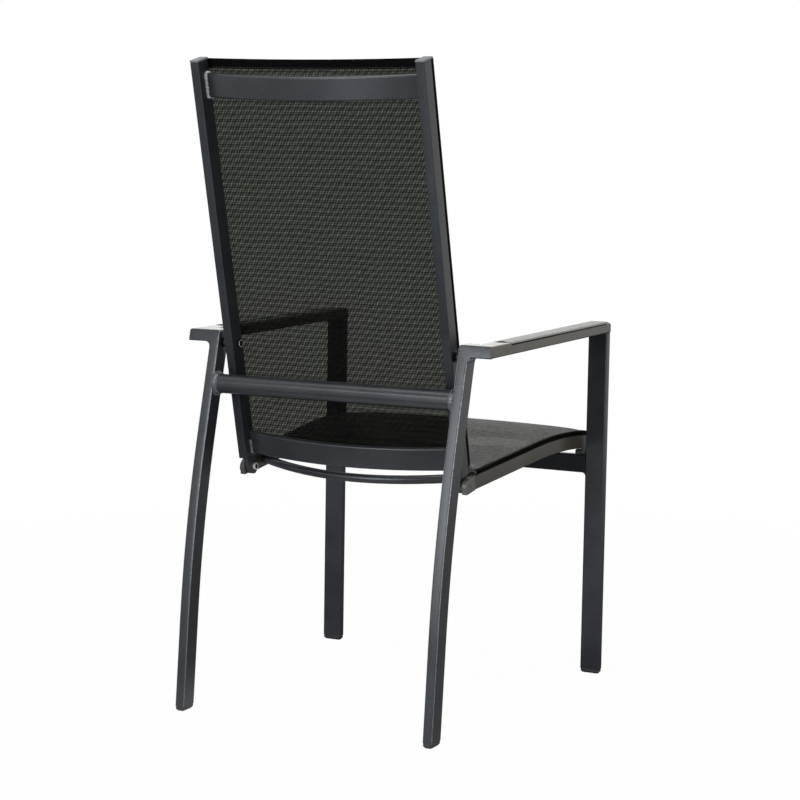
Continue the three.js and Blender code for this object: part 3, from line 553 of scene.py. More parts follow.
@dataclass(frozen=True)
class WovenMesh(Finish):
    """Coated yarns in a stepped weave with one slanting opening to each repeat.

    A repeat is across by along, and each row of repeats is shifted by step_share of one. The slits that
    let light through beat in slow bands and in a slanting twill. On a sheet with mottle, dull spots lie
    over the yarns, and so does a near-black band along both side edges, painted shade where the cloth
    wraps over the rails.
    """

    across: float = 5.26 * MM
    along: float = 4.25 * MM
    step_share: float = 0.39
    yarns: int = 3
    far_off: float = 200.0
    slit_length: float = 5.2 * MM
    slit_width: float = 3.5 * MM
    slit_slant: float = math.radians(116)
    slit_band: Band = (0.2, 1.3)
    band: float = 10.2 * MM
    twill_across: float = 13.9 * MM
    twill_along: float = 13.2 * MM
    band_depth: float = 0.165
    row_depth: float = 0.22
    wander_scale: float = 20.0
    wander: float = 5.0
    clear: float = 0.135
    haze: float = 0.155
    streak: float = 0.5
    crease: float = 1.6 * MM
    yarn_height: float = 0.0005
    patch_scale: float = 9.0
    slub_stretch: Triple = (260.0, 45.0, 1.0)
    rib_stretch: Triple = (190.0, 34.0, 1.0)
    spot_stretch: Triple = (130.0, 95.0, 1.0)
    spot_band: Band = (0.38, 0.62)
    mottle: float = 0.0
    # Where the painted shade along the side edges starts and where it is full.
    edge_at: float = 233.5 * MM
    edge_full: float = 244.5 * MM
    dull: Colour = rgb(0.0015, 0.0015, 0.0014)
    dull_rough: float = 0.8
    openings: bool = True
    sheen: float = 0.03
    sheen_rough: float = 0.35
    gloss: float = 0.03
    gap_tint: Colour = rgb(0.970, 1.0, 0.925)
    yarn: Colour = rgb(0.0012, 0.0013, 0.0010)
    float_yarn: Colour = rgb(0.0042, 0.0046, 0.0035)

    def shade(self, graph: Graph) -> None:
        """Yarn relief, floats and openings on the sheet's own map, which is in metres.

        Args:
            graph: The graph to fill.
        """
        cloth = graph.add("ShaderNodeUVMap", {"uv_map": "Cloth"}).out()
        u, v, _ = graph.parts(cloth)
        row = (v / self.along).floor()
        x = (u / self.across + row * self.step_share + self.far_off).frac()
        y = (v / self.along + self.far_off).frac()
        fine_x = (x * self.yarns).frac() - 0.5
        fine_y = (y * self.yarns).frac() - 0.5
        warp = (1.0 - (fine_x * 2.0) ** 2.0).root()
        weft = (1.0 - (fine_y * 2.0) ** 2.0).root()
        over = ((x * self.yarns).floor() + (y * self.yarns).floor()).mod(2.0)
        height = over * warp + (1.0 - over) * weft
        patches = graph.noise(graph.object_place(), self.patch_scale, 3.0, 0.5)
        slubs = graph.noise(graph.stretched(cloth, self.slub_stretch), 1.0, 2.0)
        tone = over * 0.5 + slubs.ramp(0.3, 0.8) * 0.3 + patches.ramp(0.3, 0.7) * 0.2
        ribs = graph.noise(graph.stretched(cloth, self.rib_stretch), 1.0, 3.0, 0.6)
        relief = graph.bump(ribs, 0.9, self.crease)
        shader = graph.add("ShaderNodeBsdfPrincipled", {}, {
            "Base Color": graph.mix(tone, self.yarn, self.float_yarn),
            "Roughness": 0.5 + (slubs - 0.5) * 0.2,
            "Normal": graph.bump(height, 0.8, self.yarn_height, relief),
            "Specular IOR Level": self.gloss,
            "Sheen Weight": self.sheen, "Sheen Roughness": self.sheen_rough,
        }).out()
        if self.mottle:
            dull = graph.add("ShaderNodeBsdfPrincipled", {}, {
                "Base Color": self.dull, "Roughness": self.dull_rough, "Specular IOR Level": 0.03,
            }).out()
            spots = graph.noise(graph.stretched(cloth, self.spot_stretch), 1.0, 3.0, 0.7)
            # Painted shade: a near-black band along both side edges, where the cloth wraps over the rails.
            edge = u.abs().ramp(self.edge_at, self.edge_full)
            share = (spots.ramp(*self.spot_band) * self.mottle).most(edge)
            shader = graph.add("ShaderNodeMixShader", {}, {0: share, 1: shader, 2: dull}).out()
        if self.openings:
            gap = graph.add("ShaderNodeBsdfTransparent", {}, {"Color": self.gap_tint}).out()
            share = self.opening(graph, u, v, x, y) * (1.0 + (ribs - 0.5) * self.streak)
            shader = graph.add("ShaderNodeMixShader", {}, {0: share, 1: shader, 2: gap}).out()
        graph.add("ShaderNodeOutputMaterial", {}, {"Surface": shader})

    def opening(self, graph: Graph, u: Sock, v: Sock, x: Sock, y: Sock) -> Sock:
        """How open the weave is at a place.

        Args:
            graph: The graph.
            u: Place across the cloth, in metres.
            v: Place along the cloth, in metres.
            x: Place across one repeat.
            y: Place along one repeat.

        Returns:
            The share of light that passes.
        """
        aside = (x - 0.5) * self.across
        up = (y - 0.5) * self.along
        cosine, sine = math.cos(self.slit_slant), math.sin(self.slit_slant)
        length = (aside * cosine + up * sine) * (2.0 / self.slit_length)
        width = (up * cosine - aside * sine) * (2.0 / self.slit_width)
        slit = (length * length + width * width).root().ramp(*self.slit_band, 1.0, 0.0)
        turn = 2 * math.pi
        wander = graph.noise(graph.object_place(), self.wander_scale, 2.0) * self.wander
        bands = (v * (turn / self.band) + wander).sine()
        twill = (u * (turn / self.twill_across) + v * (turn / self.twill_along) + wander).sine()
        row = ((y - 0.5) * 2.0) ** 2.0
        beat = (1.0 + (bands + twill) * self.band_depth) * (1.0 - row * self.row_depth)
        return (slit * self.clear + self.haze) * beat


@dataclass(frozen=True)
class SewingThread(Finish):
    """Black polyester thread with its twist."""

    base: Colour = rgb(0.016, 0.016, 0.016)
    shine: Colour = rgb(0.05, 0.05, 0.048)
    twists: float = 2400.0
    twist_band: Band = (0.2, 0.9)
    twist_height: float = 0.0001
    fuzz_scale: float = 3000.0

    def shade(self, graph: Graph) -> None:
        """Twist as slanting stripes.

        Args:
            graph: The graph to fill.
        """
        x, y, z = graph.parts(graph.object_place())
        twist = ((x + y + z) * self.twists).frac()
        fuzz = graph.noise(graph.object_place(), self.fuzz_scale, 2.0)
        graph.surface({
            "Base Color": graph.mix(twist.ramp(*self.twist_band) * fuzz, self.base, self.shine),
            "Roughness": 0.5 + fuzz * 0.3,
            "Normal": graph.bump(twist, 0.5, self.twist_height),
        })


# Each coat paints highlights on its round corners, at the strength given to it.
COAT = PowderCoat("Fine textured coat")
# Rear legs: strong painted highlights on their round corners and their level tops.
LEG_COAT = PowderCoat(
    "Fine textured coat, rubbed corners", pale_tone=rgb(0.40, 0.42, 0.45), corner_highlight=0.9, top_highlight=0.9,
)
# Front legs: a copy of the coat with a paler base, painted light on their lit outer sides, and with less
# gloss, which keeps their shaded rear faces dark.
FRONT_COAT = PowderCoat(
    "Fine textured coat, front legs", dark=rgb(0.0185, 0.0200, 0.0225), light=rgb(0.0265, 0.0285, 0.0320),
    gloss=0.22, corner_highlight=0.12,
)
RAIL_COAT = PowderCoat("Fine textured coat, back rails", gloss=0.27)
# Front cross rail: a much darker copy of the coat, painted shade for a rail that lies in the seat's shadow.
PAINTED_SHADE_COAT = PowderCoat(
    "Fine textured coat, cross rail", dark=rgb(0.006, 0.0065, 0.0075), light=rgb(0.009, 0.0095, 0.0105),
    gloss=0.10, corner_highlight=0.0,
)
# Near-black coat of the strip along each armrest's outer edge, the strips' end seals, the back pivot bolts
# and the plugs in the bolt faces; on the armrest strip it is painted shadow, and on the plugs a painted dark
# reflection.
NEAR_BLACK = PowderCoat(
    "Black gasket", dark=rgb(0.0015, 0.0015, 0.0015), light=rgb(0.003, 0.003, 0.003),
    fleck=rgb(0.006, 0.006, 0.006), roughness=0.5, gloss=0.06, corner_highlight=0.0,
)
# Seat lugs, their knuckles and the seat rail caps: a much paler copy of the coat, painted light.
LUG_COAT = PowderCoat(
    "Fine textured coat, lugs", dark=rgb(0.068, 0.067, 0.061), light=rgb(0.092, 0.090, 0.082), corner_highlight=0.3,
)
# Seat rails: a warm, browner copy of the coat, a little paler than the armrests', painted warm light falling
# from the side.
SEAT_RAIL_COAT = PowderCoat(
    "Fine textured coat, seat rails", dark=rgb(0.0325, 0.0305, 0.0235), light=rgb(0.0445, 0.0420, 0.0330),
    corner_highlight=0.15,
)
# Armrests: a warm, browner copy of the coat, painted warm light falling from the side.
WARM_COAT = PowderCoat(
    "Fine textured coat, warm", dark=rgb(0.030, 0.0262, 0.0145), light=rgb(0.042, 0.0370, 0.0215), corner_highlight=0.15,
)
# Beads of the top bar's welds: coat made far paler than the frame, a painted highlight for the light that the
# beads catch.
WELD_COAT = PowderCoat(
    "Coat over weld", dark=rgb(0.26, 0.275, 0.29), light=rgb(0.58, 0.60, 0.62), roughness=0.26,
    gloss=0.6, grain_scale=1100.0, corner_highlight=0.0,
)
# Beads round the cross tube and the bottom bar: a paler copy of the coat, a painted highlight for the light
# that they catch.
COLLAR_COAT = PowderCoat(
    "Coat over collar", dark=rgb(0.055, 0.058, 0.064), light=rgb(0.085, 0.090, 0.098), roughness=0.30,
    gloss=0.5, corner_highlight=0.0,
)
STRIP = SatinStrip("Brushed satin strip")
PLASTIC = MouldedPlastic("Moulded plastic")
CAP = MouldedPlastic("Moulded rail cap", base=rgb(0.15, 0.155, 0.16), scuffed=rgb(0.26, 0.265, 0.27))
STEEL = BrightSteel("Bright steel")
MESH = WovenMesh("Woven mesh")
SEAT_MESH = WovenMesh(
    "Woven mesh, seat", sheen=0.185, gloss=0.15, streak=1.0, crease=3 * MM, mottle=0.34,
    yarn=rgb(0.004, 0.0042, 0.0038), float_yarn=rgb(0.060, 0.062, 0.058),
)
HEM = WovenMesh(
    "Woven mesh doubled", openings=False, sheen=0.0, gloss=0.03,
    yarn=rgb(0.0006, 0.0006, 0.0006), float_yarn=rgb(0.0022, 0.0023, 0.0022),
)
THREAD = SewingThread("Sewing thread")


# Mesh making


class Workshop:
    """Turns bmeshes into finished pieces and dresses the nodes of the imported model."""

    # Edges sharper than these angles, in degrees, stay sharp. Corners this near, in metres, are one.
    SHARP_FROM = 35.0
    NODE_SHARP_FROM = 33.0
    SAME_CORNER = 0.00001

    @staticmethod
    def piece(
        mesh: bmesh.types.BMesh,
        name: str,
        finish: Finish,
        body: str,
        split: float | None = SHARP_FROM,
    ) -> bpy.types.Object:
        """Makes an object that rides on a body.

        Args:
            mesh: The shape, in place.
            name: The piece's name.
            finish: Its finish.
            body: The body that it rides on.
            split: Angle in degrees from which an edge stays sharp, or None.

        Returns:
            The object.
        """
        data = bpy.data.meshes.new(name)
        mesh.to_mesh(data)
        mesh.free()
        piece = bpy.data.objects.new(name, data)
        bpy.context.scene.collection.objects.link(piece)
        data.materials.append(finish.material())
        data.polygons.foreach_set("use_smooth", [True] * len(data.polygons))
        if split is not None:
            Workshop.keep_edges(piece, split)
        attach(piece, body)
        LOG.info("made %s in %s, riding on %s", name, finish.name, body)
        return piece

    @staticmethod
    def keep_edges(piece: bpy.types.Object, degrees: float) -> None:
        """Splits edges sharper than an angle, so that smooth shading stops there.

        Args:
            piece: The object.
            degrees: The angle.
        """
        edges = piece.modifiers.new("Sharp edges", "EDGE_SPLIT")
        edges.split_angle = math.radians(degrees)
        edges.use_edge_sharp = False

    @staticmethod
    def dress(node: str, finish: Finish) -> None:
        """Gives a CAD node its finish and smooth shading, its shape untouched.

        Args:
            node: The node's name.
            finish: The finish.
        """
        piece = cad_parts[node]
        piece.data.materials.clear()
        piece.data.materials.append(finish.material())
        piece.data.polygons.foreach_set("material_index", [0] * len(piece.data.polygons))
        piece.data.polygons.foreach_set("use_smooth", [True] * len(piece.data.polygons))
        weld = piece.modifiers.new("Join corners", "WELD")
        weld.merge_threshold = Workshop.SAME_CORNER
        Workshop.keep_edges(piece, Workshop.NODE_SHARP_FROM)
        weighted = piece.modifiers.new("Flat faces lead", "WEIGHTED_NORMAL")
        weighted.keep_sharp = True
        LOG.info("dressed %s in %s", node, finish.name)

    @staticmethod
    def dress_pairs(finishes: dict[str, Finish]) -> None:
        """Dresses nodes that the chair has on both sides.

        Args:
            finishes: Finish of each node, by its name without the side.
        """
        for side in Side:
            for node, finish in finishes.items():
                Workshop.dress(f"{node}_{side.label}", finish)

    @staticmethod
    def push(mesh: bmesh.types.BMesh, faces: list[bmesh.types.BMFace], way: Vector) -> bmesh.types.BMFace:
        """Extrudes faces and moves their new end.

        Args:
            mesh: The bmesh that the faces are in.
            faces: The faces.
            way: How far the new end moves.

        Returns:
            The first face of the new end.
        """
        made = bmesh.ops.extrude_face_region(mesh, geom=faces)["geom"]
        verts = [item for item in made if isinstance(item, bmesh.types.BMVert)]
        bmesh.ops.translate(mesh, vec=way, verts=verts)
        return next(item for item in made if isinstance(item, bmesh.types.BMFace))

    @staticmethod
    def sweep(
        mesh: bmesh.types.BMesh,
        places: list[Matrix],
        radii: list[tuple[float, float]],
        sides: int,
        closed: bool = False,
    ) -> None:
        """Draws a round section along a line of places by extruding ring after ring.

        Args:
            mesh: The bmesh that the sweep is added to.
            places: Matrix of each ring: its Z axis is the way along.
            radii: Half width and half height of each ring.
            sides: Corners of the section.
            closed: Whether the last ring joins the first.
        """
        before = places[0] @ Matrix.Diagonal((*radii[0], 1.0, 1.0))
        first = bmesh.ops.create_circle(
            mesh, segments=sides, radius=1.0, cap_ends=False, matrix=before)["verts"]
        start = list(dict.fromkeys(edge for vert in first for edge in vert.link_edges))
        ring = start
        for place, radius in zip(places[1:], radii[1:]):
            made = bmesh.ops.extrude_edge_only(mesh, edges=ring)["geom"]
            verts = [item for item in made if isinstance(item, bmesh.types.BMVert)]
            ring = [item for item in made if isinstance(item, bmesh.types.BMEdge)]
            here = place @ Matrix.Diagonal((*radius, 1.0, 1.0))
            bmesh.ops.transform(mesh, matrix=here @ before.inverted(), verts=verts)
            before = here
        if closed:
            bmesh.ops.bridge_loops(mesh, edges=start + ring)
        else:
            bmesh.ops.contextual_create(mesh, geom=start)
            bmesh.ops.contextual_create(mesh, geom=ring)
        bmesh.ops.recalc_face_normals(mesh, faces=mesh.faces[:])


def heading_matrix(place: Vector, along: Vector, across: Vector) -> Matrix:
    """Matrix at a place whose Z axis runs along and whose X axis is nearest to across.

    Args:
        place: The origin.
        along: The way along.
        across: The wished X axis.

    Returns:
        The matrix.
    """
    z = along.normalized()
    x = (across - z * across.dot(z)).normalized()
    y = z.cross(x)
    turned = Matrix((x, y, z)).transposed().to_4x4()
    return Matrix.Translation(place) @ turned


# Sub-assemblies


@dataclass
class RailSection:
    """Sizes of the sling rails' section, in metres."""

    width: float = 16 * MM
    depth: float = 31 * MM
    edge: float = 1.6 * MM
    groove_from_face: float = 6.2 * MM
    groove_rise: float = 0.2 * MM
    cloth_gap: float = 0.3 * MM
    cloth: float = 0.8 * MM
    in_groove: float = 1.4 * MM

    def course(self, middle: float, steps: int = 5) -> list[tuple[float, float]]:
        """Half of the cloth's course, from the groove of a rail to the middle of the sling.

        Args:
            middle: Distance of the rail's middle from the sling's middle.
            steps: Steps round the corner.

        Returns:
            Points as (distance from the sling's middle, height over the rail's middle line).
        """
        lift = self.cloth_gap + self.cloth / 2
        half = self.width / 2 + lift
        face = self.depth / 2 + lift
        bend = self.edge + lift
        groove = self.depth / 2 - self.groove_from_face
        points = [(half - lift - self.in_groove, groove), (half, groove + self.groove_rise)]
        for i in range(steps + 1):
            turn = math.pi / 2 * i / steps
            points.append((half - bend + bend * math.cos(turn), face - bend + bend * math.sin(turn)))
        return [(middle + x, v) for x, v in points] + [(0.0, face)]


def walk(points: list[tuple[float, float]], distance: float) -> tuple[float, float]:
    """Point at a distance along a line of points.

    Args:
        points: The line.
        distance: Distance from its start.

    Returns:
        The point.
    """
    for (x0, y0), (x1, y1) in zip(points, points[1:]):
        length = math.hypot(x1 - x0, y1 - y0)
        if distance <= length:
            share = distance / length
            return x0 + (x1 - x0) * share, y0 + (y1 - y0) * share
        distance -= length
    return points[-1]


def line_length(points: list[tuple[float, float]]) -> float:
    """Length of a line of points."""
    return sum(math.hypot(b[0] - a[0], b[1] - a[1]) for a, b in zip(points, points[1:]))


class SheetEnd(Enum):
    """The two ends of a sheet, going by its own length."""

    LOW = "low"
    HIGH = "high"


@dataclass
class Cloth:
    """A stretched sheet given by a function from its own map to the chair's frame.

    A row is a row of stitches, and a stitch's rings are the sections that its thread is drawn through.
    """

    point: Callable[..., Vector]
    body: str
    half: float
    low: float
    high: float
    hem_width: float
    thickness: float = 0.5 * MM
    hem_thickness: float = 1.9 * MM
    hem_proud: float = 0.6 * MM
    hem_columns: int = 96
    hem_rows: int = 6
    fold_width: float = 0.7 * MM
    fold_segments: int = 3
    fold_from: float = math.radians(50)
    row_from_edge: float = 2.2 * MM
    row_lift: float = 1.35 * MM
    pitch: float = 3.6 * MM
    stitch_share: float = 0.42
    ring_shares: tuple[float, ...] = (-1.0, -0.55, 0.55, 1.0)
    thread: float = 0.34 * MM
    thread_end: float = 0.16 * MM
    end_sink: float = 0.25 * MM
    thread_sides: int = 5

    def grid(self, half: float, low: float, high: float, columns: int, rows: int) -> bmesh.types.BMesh:
        """A grid laid on the sheet, with the cloth's map in metres.

        Args:
            half: Half width along the cloth.
            low: Start along the sheet.
            high: End along the sheet.
            columns: Faces across.
            rows: Faces along.

        Returns:
            The bmesh.
        """
        mesh = bmesh.new()
        bmesh.ops.create_grid(mesh, x_segments=columns, y_segments=rows, size=1.0)
        cloth_map = mesh.loops.layers.uv.new("Cloth")
        spots = {vert: (vert.co.x * half, low + (vert.co.y + 1) / 2 * (high - low)) for vert in mesh.verts}
        for face in mesh.faces:
            for loop in face.loops:
                loop[cloth_map].uv = spots[loop.vert]
        for vert, (u, v) in spots.items():
            vert.co = self.point(u, v, 0.0)
        return mesh

    def sheet(self, name: str, finish: Finish, columns: int, rows: int) -> bpy.types.Object:
        """The sling itself.

        Args:
            name: The piece's name.
            finish: Its cloth.
            columns: Faces across.
            rows: Faces along.

        Returns:
            The piece.
        """
        mesh = self.grid(self.half, self.low, self.high, columns, rows)
        piece = Workshop.piece(mesh, name, finish, self.body, split=None)
        wall = piece.modifiers.new("Cloth thickness", "SOLIDIFY")
        wall.thickness = self.thickness
        wall.use_even_offset = True
        wall.offset = 0.0
        return piece

    def edging(
        self, prefix: str, ends: dict[str, SheetEnd], hem_half: float, row_half: float, toward: float
    ) -> list[bpy.types.Object]:
        """Hems and rows of stitches along both ends of the sheet.

        Args:
            prefix: What the pieces' names start with.
            ends: Which end of the sheet each of the names means.
            hem_half: Half length of the hems.
            row_half: Half length of the rows of stitches.
            toward: 1 for stitches on the sitter's side of the sheet, -1 for the other side.

        Returns:
            The pieces.
        """
        pieces = []
        for name, end in ends.items():
            if end is SheetEnd.HIGH:
                low, high = self.high - self.hem_width, self.high + self.hem_proud
                row = low + self.row_from_edge
            else:
                low, high = self.low - self.hem_proud, self.low + self.hem_width
                row = high - self.row_from_edge
            pieces.append(self.hem(f"{prefix}_hem_{name}", hem_half, low, high))
            pieces.append(self.stitches(f"{prefix}_stitches_{name}", row_half, row, toward * self.row_lift))
        return pieces

    def hem(self, name: str, half: float, low: float, high: float) -> bpy.types.Object:
        """A folded hem: a doubled strip with a round fold.

        Args:
            name: The piece's name.
            half: Half width.
            low: Start along the sheet.
            high: End along the sheet.

        Returns:
            The piece.
        """
        mesh = self.grid(half, low, high, self.hem_columns, self.hem_rows)
        piece = Workshop.piece(mesh, name, HEM, self.body, split=None)
        wall = piece.modifiers.new("Doubled cloth", "SOLIDIFY")
        wall.thickness = self.hem_thickness
        wall.offset = 0.0
        fold = piece.modifiers.new("Round fold", "BEVEL")
        fold.width = self.fold_width
        fold.segments = self.fold_segments
        fold.limit_method = "ANGLE"
        fold.angle_limit = self.fold_from
        return piece

    def stitches(self, name: str, half: float, along: float, lift: float) -> bpy.types.Object:
        """A row of lockstitches along a hem, each sunk at both ends.

        Args:
            name: The piece's name.
            half: Half length of the row.
            along: Its place along the sheet.
            lift: How far it stands off the sheet.

        Returns:
            The piece.
        """
        mesh = bmesh.new()
        for i in range(int(half * 2 / self.pitch)):
            u = -half + (i + 0.5) * self.pitch
            reach = self.pitch * self.stitch_share
            spots = [self.point(u + share * reach, along, lift) for share in self.ring_shares]
            up = (self.point(u, along, lift) - self.point(u, along, lift * 0.7)).normalized()
            way = spots[-1] - spots[0]
            places, radii = [], []
            for spot, share in zip(spots, self.ring_shares):
                at_end = abs(share) == 1.0
                radius = self.thread_end if at_end else self.thread
                places.append(heading_matrix(spot - up * (self.end_sink if at_end else 0.0), way, up))
                radii.append((radius, radius))
            Workshop.sweep(mesh, places, radii, sides=self.thread_sides)
        piece = Workshop.piece(mesh, name, THREAD, self.body, split=None)
        return piece


@dataclass
class Bead:
    """A weld bead: a closed ring of overlapping ripples that drift a little in size.

    Its half width runs into the piece that it is welded to, and its half height away from the bar.
    """

    half_width: float
    half_height: float
    seed: int
    ripple: float = 3.0 * MM
    depth: float = 0.26
    crest_share: float = 1.08
    crest_power: float = 0.6
    drifts: tuple[Triple, ...] = ((0.10, 0.31, 1.0), (0.06, 0.83, 2.1))
    sides: int = 12
    sharp_from: float = 60.0

    @staticmethod
    def rectangle(
        half_width: float, half_height: float, corner: float, steps: int = 6
    ) -> list[tuple[float, float]]:
        """Outline of a rectangle with round corners, in small even steps.

        Args:
            half_width: Half of its first size.
            half_height: Half of its second size.
            corner: Corner radius.
            steps: Steps round each corner.

        Returns:
            Points of the closed outline.
        """
        points: list[tuple[float, float]] = []
        corners = ((1, 1, 0.0), (-1, 1, 90.0), (-1, -1, 180.0), (1, -1, 270.0))
        for sx, sy, start in corners:
            for i in range(steps + 1):
                turn = math.radians(start + 90.0 * i / steps)
                points.append((
                    sx * (half_width - corner) + corner * math.cos(turn),
                    sy * (half_height - corner) + corner * math.sin(turn),
                ))
        closed = points + points[:1]
        total = line_length(closed)
        count = max(BEAD_LEAST_STEPS, int(total / BEAD_STEP))
        return [walk(closed, total * i / count) for i in range(count)]

    @staticmethod
    def circle(radius: float) -> list[tuple[float, float]]:
        """Outline of a circle in small even steps.

        Args:
            radius: The circle's radius.

        Returns:
            Points of the closed outline.
        """
        count = int(2 * math.pi * radius / BEAD_STEP)
        return [
            (radius * math.cos(2 * math.pi * i / count), radius * math.sin(2 * math.pi * i / count))
            for i in range(count)
        ]

    def lay(self, name: str, finish: Finish, body: str, places: list[Vector], axis: Vector) -> None:
        """Sweeps the bead along a closed line and makes it a piece.

        Args:
            name: The piece's name.
            finish: Its finish.
            body: The body that it rides on.
            places: Points of the closed line.
            axis: The way into the piece that it is welded to.
        """
        mesh = bmesh.new()
        count = len(places)
        matrices = []
        radii = []
        walked = 0.0
        for i, place in enumerate(places):
            along = places[(i + 1) % count] - places[i - 1]
            walked += (place - places[i - 1]).length if i else 0.0
            matrices.append(heading_matrix(place, along, axis))
            wave = 0.5 + 0.5 * math.cos(2 * math.pi * walked / self.ripple)
            drift = 1.0
            for size, rate, shift in self.drifts:
                drift += size * math.sin(walked / MM * rate + self.seed * shift)
            swell = (self.crest_share - self.depth * (1.0 - wave ** self.crest_power)) * drift
            radii.append((self.half_width * swell, self.half_height * swell))
        Workshop.sweep(mesh, matrices, radii, sides=self.sides, closed=True)
        weld = Workshop.piece(mesh, name, finish, body, split=self.sharp_from)


@dataclass(frozen=True)
class Bar:
    """One bar of the back frame, as its weld beads need it."""

    label: str
    height: float
    bead_share: float
    finish: Finish
    seed: int


@dataclass
class Backrest:
    """The back frame's sling, hems and welds, laid out about the back pivot."""

    body: str = "backrest"
    pivot: Vector = field(default_factory=lambda: Vector((0.0, 0.188051, 0.6116)))
    rake: float = math.radians(12.4)
    rail_middle: float = 205.8 * MM
    rail_inner: float = 197.8 * MM
    face: float = -12.5 * MM
    top: float = 483.2 * MM
    bottom: float = -190 * MM
    free_from_rail: float = 1.5 * MM
    hollow: float = 1.5 * MM
    dip: float = 2.6 * MM
    dip_reach: float = 60 * MM
    columns: int = 120
    rows: int = 84
    hem: float = 16 * MM
    hem_over_row: float = 8 * MM
    row_from_rail: float = 2 * MM
    bar_half_height: float = 19.7 * MM
    bar_half_depth: float = 5.5 * MM
    bar_from_face: float = 9.5 * MM
    bars: tuple[Bar, ...] = (
        Bar("top", height=442 * MM, bead_share=1.0, finish=WELD_COAT, seed=9),
        Bar("bottom", height=-177 * MM, bead_share=0.58, finish=COLLAR_COAT, seed=18),
    )
    bead_corner: float = 3.5 * MM
    bead_from_rail: float = 1.1 * MM
    bead_half_width: float = 4.2 * MM
    bead_half_height: float = 3.1 * MM
    section: RailSection = field(default_factory=RailSection)

    def matrix(self) -> Matrix:
        """Matrix from the backrest's own layout to the chair."""
        return Matrix.Translation(self.pivot) @ Matrix.Rotation(-self.rake, 4, "X")

    def sling_point(self, u: float, z: float, lift: float = 0.0) -> Vector:
        """Point on the sling.

        Args:
            u: Distance from the middle, along the cloth.
            z: Height up the rails.
            lift: How far it stands off towards the sitter.

        Returns:
            The point in the chair's frame.
        """
        course = self.section.course(self.rail_middle)
        x, v = walk(course, line_length(course) - abs(u))
        inner = self.rail_inner - self.free_from_rail
        sag = 0.0
        if x < inner:
            bulge = 1 - (x / inner) ** 2
            share = (z - self.bottom) / (self.top - self.bottom)
            sag = self.hollow * bulge * math.sin(math.pi * min(max(share, 0), 1)) ** 0.5
            z -= self.dip * bulge * max(0.0, 1 - (self.top - z) / self.dip_reach)
        y = self.face + self.section.depth / 2 - v - lift + sag
        return self.matrix() @ Vector((math.copysign(x, u), y, z))

    def build(self) -> None:
        """Makes every piece of the back."""
        self.sling()
        self.welds()
        Workshop.dress_pairs({
            "back_rail": RAIL_COAT, "back_lug": COAT, "back_rail_cap": CAP, "back_spline": PLASTIC,
        })
        Workshop.dress("back_top_bar", COAT)
        Workshop.dress("back_bottom_bar", COAT)

    def sling(self) -> None:
        """The woven back with its doubled hems and stitching."""
        half = line_length(self.section.course(self.rail_middle))
        cloth = Cloth(self.sling_point, self.body, half, self.bottom, self.top, self.hem)
        sling = cloth.sheet("back_mesh", MESH, self.columns, self.rows)
        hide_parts("back_sling")
        row = self.rail_inner - self.row_from_rail
        ends = {"top": SheetEnd.HIGH, "bottom": SheetEnd.LOW}
        extras = cloth.edging("back", ends, row + self.hem_over_row, row, toward=-1)
        LOG.info("back sling %.0f x %.0f mm", half * 2 / MM, (self.top - self.bottom) / MM)

    def welds(self) -> None:
        """Weld beads round both ends of both bars."""
        turned = self.matrix()
        middle_y = self.face + self.bar_from_face
        for bar in self.bars:
            outline = Bead.rectangle(
                self.bar_half_depth, self.bar_half_height * bar.bead_share, self.bead_corner)
            middle_z = bar.height - self.bar_half_height * (1 - bar.bead_share)
            for side in Side:
                x = side.value * (self.rail_inner - self.bead_from_rail)
                places = [turned @ Vector((x, middle_y + y, middle_z + z)) for y, z in outline]
                axis = turned.to_3x3() @ Vector((side.value, 0, 0))
                bead = Bead(self.bead_half_width, self.bead_half_height, bar.seed + (side is Side.LEFT))
                bead.lay(f"weld_{bar.label}_bar_{side.label}", bar.finish, self.body, places, axis)


